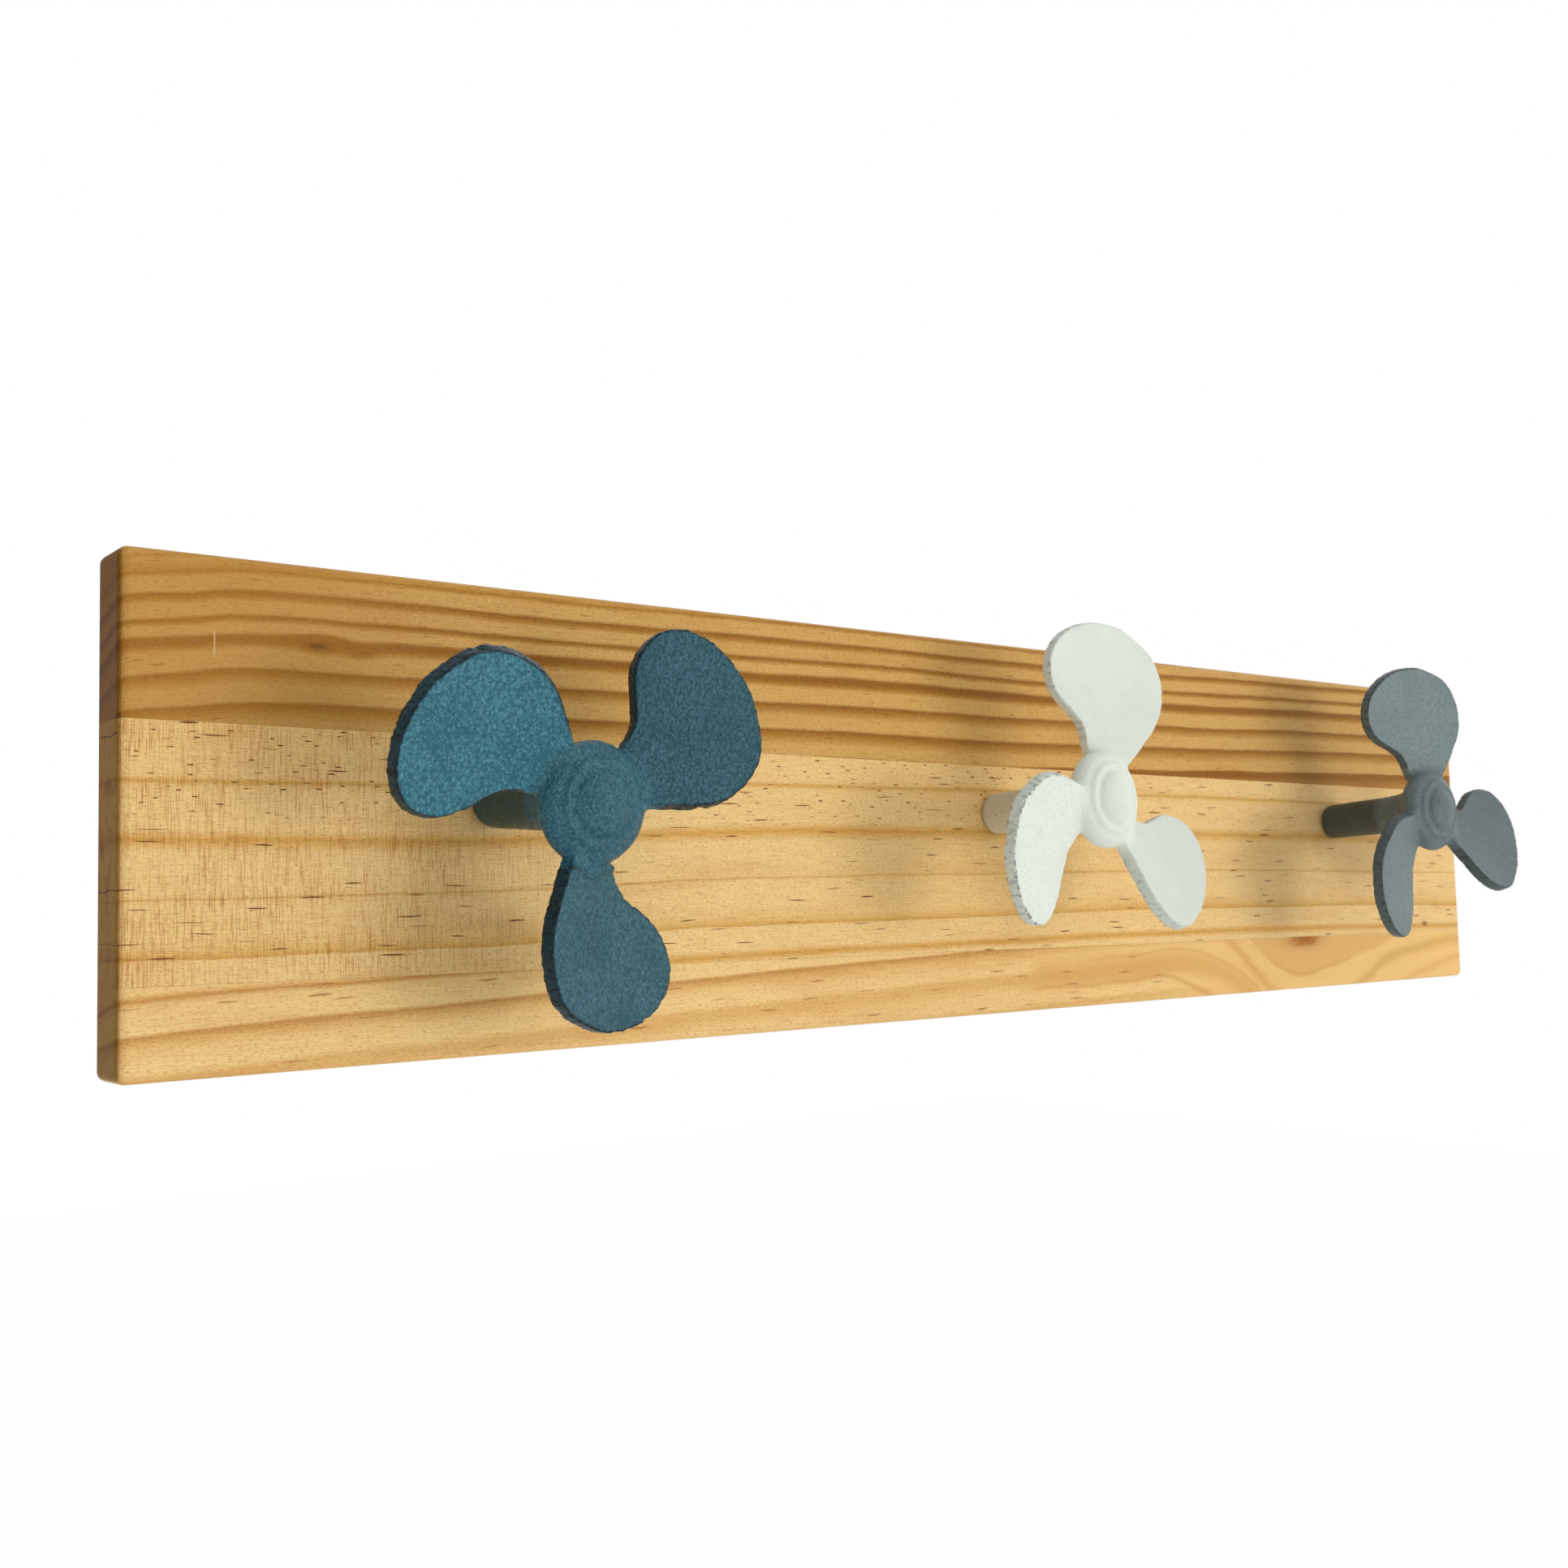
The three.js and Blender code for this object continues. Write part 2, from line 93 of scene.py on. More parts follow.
HANGER_X = 250.0
PLATE_W, PLATE_H, PLATE_CORNER, PLATE_OUT, PLATE_IN = 45.0, 16.0, 3.0, -0.1, -1.6
KEY_R, KEY_HALF, KEY_Z, KEY_TOP = 4.25, 2.1, -3.2, 4.0
PLATE_SCREW_X = 17.0


def centre(node):
    low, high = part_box(node)
    return (low + high) / 2 / MM


# ------------------------------------------------------------------ noise

def _hash(ix, iy, iz, seed):
    h = (ix * 374761393 + iy * 668265263 + iz * 1442695041 + seed * 1274126177) & 0xFFFFFFFF
    h = ((h ^ (h >> 13)) * 1274126177) & 0xFFFFFFFF
    return h ^ (h >> 16)


def noise(p, size, seed=0):
    """Smooth noise in about -1..1 at points p (mm), with features about size mm across."""
    p = np.asarray(p, float) / size
    i = np.floor(p).astype(np.int64)
    f = p - i
    u = f * f * f * (f * (f * 6 - 15) + 10)
    out = np.zeros(len(p))
    for dx in (0, 1):
        wx = u[:, 0] if dx else 1 - u[:, 0]
        for dy in (0, 1):
            wy = u[:, 1] if dy else 1 - u[:, 1]
            for dz in (0, 1):
                wz = u[:, 2] if dz else 1 - u[:, 2]
                h = _hash(i[:, 0] + dx, i[:, 1] + dy, i[:, 2] + dz, seed)
                g = [((h >> k) & 1023) / 511.5 - 1 for k in (0, 10, 20)]
                d = g[0] * (f[:, 0] - dx) + g[1] * (f[:, 1] - dy) + g[2] * (f[:, 2] - dz)
                out += wx * wy * wz * d
    return out * 1.6


def step(a, b, x):
    t = np.clip((x - a) / (b - a), 0, 1)
    return t * t * (3 - 2 * t)


# ------------------------------------------------------------------ mesh helpers

def add_mesh(name, verts, faces):
    me = bpy.data.meshes.new(name)
    me.from_pydata((np.asarray(verts, float) * MM).tolist(), [], [list(f) for f in faces])
    me.validate()
    bm = bmesh.new()
    bm.from_mesh(me)
    bmesh.ops.remove_doubles(bm, verts=bm.verts, dist=1e-7)
    bmesh.ops.recalc_face_normals(bm, faces=bm.faces)
    bm.to_mesh(me)
    bm.free()
    ob = bpy.data.objects.new(name, me)
    scene.collection.objects.link(ob)
    return ob


def drop(*objects):
    for o in objects:
        bpy.data.objects.remove(o)


def apply(ob):
    dg = bpy.context.evaluated_depsgraph_get()
    me = bpy.data.meshes.new_from_object(ob.evaluated_get(dg))
    ob.modifiers.clear()
    ob.data = me
    return ob


def boolean(ob, cutter, operation, solver="MANIFOLD"):
    m = ob.modifiers.new("b", "BOOLEAN")
    m.operation, m.solver, m.object = operation, solver, cutter
    apply(ob)
    drop(cutter)
    return ob


AXIS = (Vector((1, 0, 0)), Vector((0, 0, 1)), Vector((0, -1, 0)))  # right, up, towards the viewer


def turned(name, profile, segments, at=(0, 0, 0), basis=AXIS, ring=False):
    """Turned piece: profile of (radius, distance along the third axis), ends on the axis unless it is a ring."""
    right, up, out = (np.array(v) for v in basis)
    at = np.array(at, float)
    verts, index = [], []
    for r, a in profile:
        if r < 1e-9 and not ring:
            index.append([len(verts)] * segments)
            verts.append(at + a * out)
        else:
            index.append(list(range(len(verts), len(verts) + segments)))
            for k in range(segments):
                t = 2 * math.pi * k / segments
                verts.append(at + r * (math.cos(t) * right + math.sin(t) * up) + a * out)
    faces = []
    rows = len(profile)
    for i in range(rows if ring else rows - 1):
        a, b = index[i], index[(i + 1) % rows]
        for k in range(segments):
            j = (k + 1) % segments
            f = [a[k], a[j], b[j], b[k]]
            f = [v for n, v in enumerate(f) if v not in f[:n]]
            if len(f) > 2:
                faces.append(f)
    return add_mesh(name, verts, faces)


def spline(points, steps, closed=False):
    """Catmull-Rom curve through the points."""
    p = np.asarray(points, float)
    n = len(p)
    out = []
    last = n if closed else n - 1
    for i in range(last):
        if closed:
            a, b, c, d = p[(i - 1) % n], p[i], p[(i + 1) % n], p[(i + 2) % n]
        else:
            a, b, c, d = p[max(i - 1, 0)], p[i], p[i + 1], p[min(i + 2, n - 1)]
        for k in range(steps):
            t = k / steps
            out.append(0.5 * ((2 * b) + (c - a) * t + (2 * a - 5 * b + 4 * c - d) * t ** 2
                              + (3 * b - a - 3 * c + d) * t ** 3))
    if not closed:
        out.append(p[-1])
    return np.array(out)


def arc(cx, cy, r, a0, a1, n):
    return [(cx + r * math.cos(math.radians(a0 + (a1 - a0) * k / n)),
             cy + r * math.sin(math.radians(a0 + (a1 - a0) * k / n))) for k in range(n + 1)]


def prism(name, outline, y_back, y_front):
    """Flat outline of (x, z) given thickness along Y."""
    n = len(outline)
    verts = [(x, y_back, z) for x, z in outline] + [(x, y_front, z) for x, z in outline]
    faces = [list(range(n)), list(range(2 * n - 1, n - 1, -1))]
    faces += [[i, (i + 1) % n, n + (i + 1) % n, n + i] for i in range(n)]
    return add_mesh(name, verts, faces)


def rounded(x0, z0, x1, z1, r, n=8):
    return (arc(x1 - r, z0 + r, r, -90, 0, n) + arc(x1 - r, z1 - r, r, 0, 90, n)
            + arc(x0 + r, z1 - r, r, 90, 180, n) + arc(x0 + r, z0 + r, r, 180, 270, n))


def shade(ob, angle=35, weighted=False):
    me = ob.data
    me.polygons.foreach_set("use_smooth", [True] * len(me.polygons))
    me.set_sharp_from_angle(angle=math.radians(angle))
    if weighted:
        m = ob.modifiers.new("normals", "WEIGHTED_NORMAL")
        m.mode, m.weight, m.keep_sharp = "FACE_AREA", 50, True
    me.update()
    return ob


def soften(ob, width, segments=2, angle=40):
    m = ob.modifiers.new("bevel", "BEVEL")
    m.width, m.segments, m.limit_method = width * MM, segments, "ANGLE"
    m.angle_limit, m.use_clamp_overlap = math.radians(angle), True
    m.harden_normals = False
    return apply(ob)


def finish_piece(ob, body, nodes, material, slot):
    ob.data.materials.clear()
    ob.data.materials.append(material)
    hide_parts(*nodes)
    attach(ob, body)
    return ob


# ------------------------------------------------------------------ node materials

def srgb(r, g, b):
    def f(c):
        c = c / 255
        return c / 12.92 if c <= 0.04045 else ((c + 0.055) / 1.055) ** 2.4
    return (f(r), f(g), f(b), 1.0)


class Graph:
    def __init__(self, name):
        self.mat = bpy.data.materials.new(name)
        self.mat.use_nodes = True
        self.nt = self.mat.node_tree
        self.nt.nodes.clear()
        out = self.nt.nodes.new("ShaderNodeOutputMaterial")
        self.bsdf = self.nt.nodes.new("ShaderNodeBsdfPrincipled")
        self.nt.links.new(self.bsdf.outputs[0], out.inputs[0])
        tc = self.nt.nodes.new("ShaderNodeTexCoord")
        self.P = self.vmath("SCALE", tc.outputs["Object"], scale=1000.0)
        s = self.nt.nodes.new("ShaderNodeSeparateXYZ")
        self.put(s.inputs[0], self.P)
        self.x, self.y, self.z = s.outputs

    def put(self, socket, v):
        if isinstance(v, bpy.types.NodeSocket):
            self.nt.links.new(v, socket)
        elif v is not None:
            socket.default_value = v

    def set(self, **inputs):
        for k, v in inputs.items():
            self.put(self.bsdf.inputs[k.replace("_", " ")], v)

    def math(self, op, a, b=None, c=None, clamp=False):
        n = self.nt.nodes.new("ShaderNodeMath")
        n.operation, n.use_clamp = op, clamp
        for i, v in enumerate((a, b, c)):
            if v is not None:
                self.put(n.inputs[i], v)
        return n.outputs[0]

    def add(self, a, b):
        return self.math("ADD", a, b)

    def sub(self, a, b):
        return self.math("SUBTRACT", a, b)

    def mul(self, a, b):
        return self.math("MULTIPLY", a, b)

    def vmath(self, op, a, b=None, scale=None):
        n = self.nt.nodes.new("ShaderNodeVectorMath")
        n.operation = op
        self.put(n.inputs[0], a)
        if b is not None:
            self.put(n.inputs[1], b)
        if scale is not None:
            self.put(n.inputs["Scale"], scale)
        return n.outputs[0]

    def xyz(self, x, y, z):
        n = self.nt.nodes.new("ShaderNodeCombineXYZ")
        for i, v in enumerate((x, y, z)):
            self.put(n.inputs[i], v)
        return n.outputs[0]

    def noise(self, size, detail=2.0, rough=0.5, offset=(0, 0, 0), vec=None, warp=0.0):
        """Noise with features size mm across (one number, or three for a stretched one), 0..1."""
        size = (size,) * 3 if isinstance(size, (int, float)) else size
        v = self.vmath("MULTIPLY", vec if vec is not None else self.P, tuple(1 / s for s in size))
        v = self.vmath("ADD", v, offset)
        n = self.nt.nodes.new("ShaderNodeTexNoise")
        n.inputs["Scale"].default_value = 1.0
        n.inputs["Detail"].default_value = detail
        n.inputs["Roughness"].default_value = rough
        n.inputs["Distortion"].default_value = warp
        self.put(n.inputs["Vector"], v)
        return n.outputs["Fac"]

    def signed(self, fac, amount):
        """0..1 noise to about -amount..amount."""
        return self.mul(self.sub(fac, 0.5), 2 * amount)

    def remap(self, v, a, b, c=0.0, d=1.0, smooth=True):
        n = self.nt.nodes.new("ShaderNodeMapRange")
        n.interpolation_type = "SMOOTHSTEP" if smooth else "LINEAR"
        for i, val in enumerate((v, a, b, c, d)):
            self.put(n.inputs[i], val)
        return n.outputs[0]

    def ramp(self, v, low, high, stops, interpolation="LINEAR"):
        n = self.nt.nodes.new("ShaderNodeValToRGB")
        n.color_ramp.interpolation = interpolation
        e = n.color_ramp.elements
        stops = sorted(stops, key=lambda s: s[0])
        e[0].position, e[0].color = (stops[0][0] - low) / (high - low), stops[0][1]
        e[1].position, e[1].color = (stops[-1][0] - low) / (high - low), stops[-1][1]
        for pos, col in stops[1:-1]:
            k = e.new((pos - low) / (high - low))
            k.color = col
        self.put(n.inputs[0], self.remap(v, low, high, smooth=False))
        return n.outputs[0]

    def curve(self, v, points, handle="AUTO"):
        """Smooth curve through (input, output) points."""
        xs, ys = [p[0] for p in points], [p[1] for p in points]
        x0, x1, y0, y1 = min(xs), max(xs), min(ys) - 1e-6, max(ys) + 1e-6
        n = self.nt.nodes.new("ShaderNodeFloatCurve")
        c = n.mapping.curves[0]
        while len(c.points) < len(points):
            c.points.new(0.5, 0.5)
        for k, (px, py) in enumerate(sorted(points)):
            c.points[k].location = ((px - x0) / (x1 - x0), (py - y0) / (y1 - y0))
            c.points[k].handle_type = handle
        n.mapping.update()
        self.put(n.inputs["Value"], self.remap(v, x0, x1, smooth=False))
        return self.add(self.mul(n.outputs[0], y1 - y0), y0)

    def mix(self, fac, a, b, blend="MIX"):
        n = self.nt.nodes.new("ShaderNodeMix")
        n.data_type, n.blend_type = "RGBA", blend
        self.put(n.inputs[0], fac)
        self.put(n.inputs[6], a)
        self.put(n.inputs[7], b)
        return n.outputs[2]

    def attribute(self, name):
        n = self.nt.nodes.new("ShaderNodeAttribute")
        n.attribute_name = name
        return n.outputs["Fac"]

    def white(self, x, y=0.0):
        n = self.nt.nodes.new("ShaderNodeTexWhiteNoise")
        n.noise_dimensions = "3D"
        self.put(n.inputs["Vector"], self.xyz(x, y, 0.37))
        return n.outputs["Value"], n.outputs["Color"]

    def bump(self, height, distance, strength=1.0, normal=None):
        n = self.nt.nodes.new("ShaderNodeBump")
        n.inputs["Strength"].default_value = strength
        n.inputs["Distance"].default_value = distance * MM
        self.put(n.inputs["Height"], height)
        if normal is not None:
            self.put(n.inputs["Normal"], normal)
        return n.outputs[0]

    def normal_x(self):
        """How far the true surface faces along the board: 1 on the end faces."""
        n = self.nt.nodes.new("ShaderNodeNewGeometry")
        t = self.nt.nodes.new("ShaderNodeVectorTransform")
        t.vector_type, t.convert_from, t.convert_to = "NORMAL", "WORLD", "OBJECT"
        self.put(t.inputs[0], n.outputs["True Normal"])
        s = self.nt.nodes.new("ShaderNodeSeparateXYZ")
        self.put(s.inputs[0], t.outputs[0])
        return self.math("ABSOLUTE", s.outputs[0])


# ------------------------------------------------------------------ pine

def streaks(g, along, across, pitch_along, pitch_across, chance, short, long, half, seed, edge=0.06):
    """Short dark dashes that follow the grain. 1 inside a dash, 0 elsewhere."""
    rowf = g.math("DIVIDE", across, pitch_across)
    row = g.math("FLOOR", rowf)
    fr = g.math("FRACT", rowf)
    shift, _ = g.white(g.add(row, seed * 13.7 + 0.5))
    col_x = g.add(g.math("DIVIDE", along, pitch_along), g.mul(shift, 41.3))
    col = g.math("FLOOR", col_x)
    fx = g.math("FRACT", col_x)
    value, colour = g.white(g.add(row, seed * 3.1 + 0.5), g.add(col, 0.5))
    s = g.nt.nodes.new("ShaderNodeSeparateColor")
    g.put(s.inputs[0], colour)
    r, gg, b = s.outputs[0], s.outputs[1], s.outputs[2]
    length = g.add(g.mul(r, long - short), short)
    dx = g.math("DIVIDE", g.math("ABSOLUTE", g.sub(fx, 0.5)), length)
    taper = g.math("MAXIMUM", g.sub(1.0, g.mul(dx, dx)), 0.0)
    middle = g.add(0.5, g.mul(g.sub(gg, 0.5), 0.5))
    dq = g.math("ABSOLUTE", g.sub(fr, middle))
    width = g.mul(g.mul(g.add(0.5, b), half), taper)
    inside = g.remap(g.sub(width, dq), -edge, edge)
    here = g.math("LESS_THAN", value, chance)
    return g.mul(g.mul(inside, here), g.math("GREATER_THAN", taper, 0.0))


def pine(name, ring, low, high, stops, extra):
    """Pine board. ring(g) gives the growth-ring coordinate; stops colour it; extra(g, q, colour) adds knots and marks."""
    g = Graph(name)
    q = ring(g)
    wave = g.signed(g.noise((75, 24, 14), 2.0, 0.5, (3.1, 0, 1.7)), 1.1)
    fine = g.signed(g.noise((14, 5, 2.2), 2.0, 0.6, (9.1, 2, 4.7)), 0.35)
    q = g.add(q, g.add(wave, fine))
    colour = g.ramp(q, low, high, stops)
    # fibres: fine streaks and flecks, and a broader uneven tone
    fibre = g.noise((10, 0.3, 0.3), 3.0, 0.62, (5.5, 3.0, 8.0))
    fleck = g.noise((1.3, 0.34, 0.34), 2.0, 0.6, (2.5, 1.0, 3.0))
    colour = g.mix(g.remap(fibre, 0.45, 0.72, 0.0, 0.34), colour, srgb(196, 146, 84), "MULTIPLY")
    colour = g.mix(g.remap(fleck, 0.52, 0.68, 0.0, 0.42), colour, srgb(188, 132, 68), "MULTIPLY")
    colour = g.mix(g.remap(fleck, 0.46, 0.30, 0.0, 0.10), colour, srgb(255, 236, 196), "SCREEN")
    broad = g.noise((70, 9, 7), 3.0, 0.55, (1.5, 7.0, 2.0))
    colour = g.mix(g.remap(broad, 0.45, 0.75, 0.0, 0.24), colour, srgb(222, 176, 116), "MULTIPLY")
    colour = extra(g, q, colour)
    # end grain: darker, with pores, and darkened further as painted shade on the end faces
    end = g.remap(g.normal_x(), 0.55, 0.9)
    pores = g.noise(0.42, 2.0, 0.7, (4, 4, 4))
    grain = g.mix(g.remap(pores, 0.35, 0.7, 0.15, 0.8), srgb(176, 156, 84), srgb(138, 112, 50))
    colour = g.mix(g.mul(end, 0.95), colour, g.mix(1.0, colour, grain, "MULTIPLY"))
    g.set(Base_Color=colour)
    g.set(Roughness=g.remap(fibre, 0.3, 0.7, 0.46, 0.6, smooth=False))
    g.bsdf.inputs["Specular IOR Level"].default_value = 0.16
    height = g.add(g.mul(fibre, 0.55), g.mul(g.noise(0.8, 2.0, 0.6), 0.45))
    g.set(Normal=g.bump(height, 0.05, 0.55))
    return g


PALE, TAN = srgb(218, 172, 96), srgb(201, 150, 66)
BAND, DARK = srgb(178, 124, 36), srgb(154, 98, 12)


def upper_ring(g):
    zf = g.add(g.z, 45.0)
    shift = g.curve(g.x, [(-300, -5.2), (-282, -2.8), (-262, -0.9), (-225, -0.5), (-150, 0.0), (-60, 1.0),
                          (10, 0.9), (93, 2.4), (160, 3.8), (225, 5.2), (300, 6.6)])
    q = g.sub(zf, shift)
    q = g.add(q, g.mul(g.add(g.y, 18.0), 5.0 / 18.0))
    # rings part around the small knot near the left end
    dx = g.math("DIVIDE", g.sub(g.x, -249.0), 7.5)
    dz = g.math("DIVIDE", g.sub(zf, 43.6), 3.4)
    rr = g.add(g.mul(dx, dx), g.mul(dz, dz))
    near = g.math("EXPONENT", g.mul(rr, -1.0))
    q = g.sub(q, g.mul(g.mul(g.sub(q, 44.6), near), 0.8))
    # and dip once just right of it
    dx2 = g.math("DIVIDE", g.sub(g.x, -238.0), 4.5)
    dz2 = g.math("DIVIDE", g.sub(zf, 42.0), 3.2)
    dip = g.math("EXPONENT", g.mul(g.add(g.mul(dx2, dx2), g.mul(dz2, dz2)), -1.0))
    return g.add(q, g.mul(dip, 1.6))


UPPER_STOPS = [
    (13.0, TAN), (18.6, DARK), (20.2, DARK), (20.9, PALE), (24.2, PALE),
    (27.4, BAND), (28.9, DARK), (29.8, PALE), (33.4, PALE),
    (36.0, BAND), (37.2, DARK), (38.1, PALE), (42.4, PALE),
    (43.8, BAND), (44.9, DARK), (46.2, DARK), (47.2, PALE), (49.4, PALE),
    (50.4, BAND), (51.2, DARK), (52.1, PALE), (54.9, PALE),
    (56.2, BAND), (57.3, DARK), (58.2, PALE), (61.5, PALE), (62.7, BAND), (63.4, TAN),
    (66.0, PALE), (67.4, TAN), (68.5, PALE),
]


def upper_extra(g, q, colour):
    zf = g.add(g.z, 45.0)
    # the left end is calmer in its bands
    colour = g.mix(g.remap(g.x, -190.0, -262.0, 0.0, 0.42), colour, srgb(184, 126, 52))
    # small knot: dark core with a reddish rim
    dx = g.math("DIVIDE", g.sub(g.x, -250.0), 3.6)
    dz = g.math("DIVIDE", g.sub(zf, 43.8), 1.15)
    rr = g.math("SQRT", g.add(g.mul(dx, dx), g.mul(dz, dz)))
    rr = g.add(rr, g.signed(g.noise(1.2, 2.0), 0.35))
    colour = g.mix(g.remap(rr, 1.9, 0.5, 0.0, 0.75), colour, srgb(150, 96, 26))
    colour = g.mix(g.remap(rr, 0.8, 0.3, 0.0, 0.7), colour, srgb(116, 68, 16))
    # pale scratch
    dx = g.math("ABSOLUTE", g.sub(g.x, -277.0))
    s = g.mul(g.remap(dx, 0.32, 0.08), g.mul(g.remap(zf, 38.6, 39.8), g.remap(zf, 46.2, 45.0)))
    colour = g.mix(g.mul(s, 0.55), colour, srgb(236, 205, 150))
    d = streaks(g, g.x, g.add(q, 0.0), 17.0, 1.3, 0.16, 0.1, 0.32, 0.13, 5)
    return g.mix(g.mul(d, 0.45), colour, srgb(140, 88, 26))


def middle_ring(g):
    zf = g.add(g.z, 45.0)
    shift = g.curve(g.x, [(-300, -4.4), (-230, -4.2), (-180, -3.0), (-120, -0.8), (-60, 0.0), (20, 0.2),
                          (90, 0.8), (160, 0.4), (300, -1.2)])
    q = g.sub(zf, shift)
    return g.add(q, g.mul(g.add(g.y, 18.0), 0.03))


M_PALE, M_TAN = srgb(248, 211, 143), srgb(245, 205, 134)
M_BAND, M_DARK = srgb(235, 189, 110), srgb(220, 168, 82)
MIDDLE_STOPS = [
    (-46.0, M_PALE), (-42.2, M_PALE), (-41.2, M_BAND), (-40.3, M_DARK), (-39.4, M_BAND), (-38.4, M_PALE),
    (-31.7, M_PALE), (-31.2, M_DARK), (-30.2, M_BAND), (-28.2, M_TAN), (-25.0, M_PALE),
    (-17.6, M_PALE), (-17.0, M_TAN), (-16.7, M_DARK), (-16.3, M_TAN), (-15.4, M_PALE),
    (-5.4, M_PALE), (-3.6, M_BAND), (-2.4, M_DARK), (-1.4, M_BAND), (0.4, M_PALE),
    (9.4, M_PALE), (11.2, M_TAN), (12.3, M_DARK), (13.2, M_TAN), (15.2, M_PALE), (23.0, M_TAN),
]


def middle_extra(g, q, colour):
    zf = g.add(g.z, 45.0)
    brown = srgb(122, 64, 16)
    fine = g.add(zf, g.signed(g.noise((30, 9, 6), 2.0), 1.2))
    zone = g.mul(g.remap(zf, -3.0, 4.0, 0.25, 1.0), g.remap(g.x, 120.0, 20.0, 0.45, 1.0))
    d = streaks(g, g.x, fine, 9.5, 1.4, 0.46, 0.07, 0.22, 0.105, 1, 0.03)
    colour = g.mix(g.mul(g.mul(d, zone), 1.0), colour, brown)
    d = streaks(g, g.x, g.add(fine, 0.7), 29.0, 2.7, 0.30, 0.08, 0.30, 0.06, 2, 0.02)
    colour = g.mix(g.mul(d, 0.95), colour, brown)
    # fine marks across the grain towards the left end
    cross = g.noise((0.2, 4.0, 6.0), 1.0, 0.5, (2.0, 1.0, 6.0))
    patchy = g.remap(g.noise((26.0, 9.0, 9.0), 2.0, 0.5, (3.0, 3.0, 1.0)), 0.35, 0.6, 0.45, 1.0)
    left = g.mul(g.remap(g.x, -120.0, -250.0), patchy)
    colour = g.mix(g.mul(g.remap(cross, 0.50, 0.66, 0.0, 0.62), g.add(g.mul(left, 0.95), 0.05)),
                   colour, srgb(198, 142, 78), "MULTIPLY")
    deep = g.noise((0.3, 5.0, 9.0), 1.0, 0.5, (7.0, 1.0, 2.0))
    colour = g.mix(g.mul(g.remap(deep, 0.68, 0.76, 0.0, 0.6), left), colour, srgb(158, 98, 42))
    # pin knot near the right end
    dx = g.math("DIVIDE", g.sub(g.x, 270.0), 2.4)
    dz = g.math("DIVIDE", g.sub(zf, -40.4), 1.0)
    rr = g.math("SQRT", g.add(g.mul(dx, dx), g.mul(dz, dz)))
    rr = g.add(rr, g.signed(g.noise(1.0, 2.0), 0.4))
    return g.mix(g.remap(rr, 1.4, 0.5, 0.0, 0.8), colour, srgb(146, 92, 42))


def lower_ring(g):
    zf = g.add(g.z, 45.0)
    around = g.curve(g.x, [(-300, 0.0), (60, 0.0), (95, 0.05), (125, 0.25), (150, 0.66), (177, 1.0), (205, 0.84),
                           (240, 0.52), (275, 0.26), (300, 0.12)])
    dz = g.math("DIVIDE", g.add(zf, 43.0), 30.0)
    fall = g.math("EXPONENT", g.mul(g.mul(dz, dz), -1.0))
    q = g.sub(zf, g.mul(g.x, 0.0345))
    q = g.add(q, g.mul(g.mul(around, fall), 15.0))
    return g.add(q, g.mul(g.add(g.y, 18.0), 0.22))


L_PALE, L_TAN = srgb(250, 212, 142), srgb(247, 206, 136)
L_BAND, L_DARK = srgb(235, 188, 114), srgb(206, 150, 76)
LOWER_STOPS = [
    (-72.0, L_PALE), (-68.0, L_TAN), (-64.5, L_BAND), (-63.0, L_PALE),
    (-58.5, L_TAN), (-55.5, L_BAND), (-53.6, L_BAND), (-52.0, L_PALE),
    (-49.4, L_PALE), (-47.4, L_TAN), (-45.6, L_BAND), (-43.6, L_DARK), (-42.7, L_PALE),
    (-38.8, L_PALE), (-36.6, L_TAN), (-35.2, L_DARK), (-34.4, L_BAND), (-33.6, L_TAN), (-30.0, L_TAN),
    (-27.2, L_BAND), (-26.0, L_TAN), (-22.0, L_TAN),
]


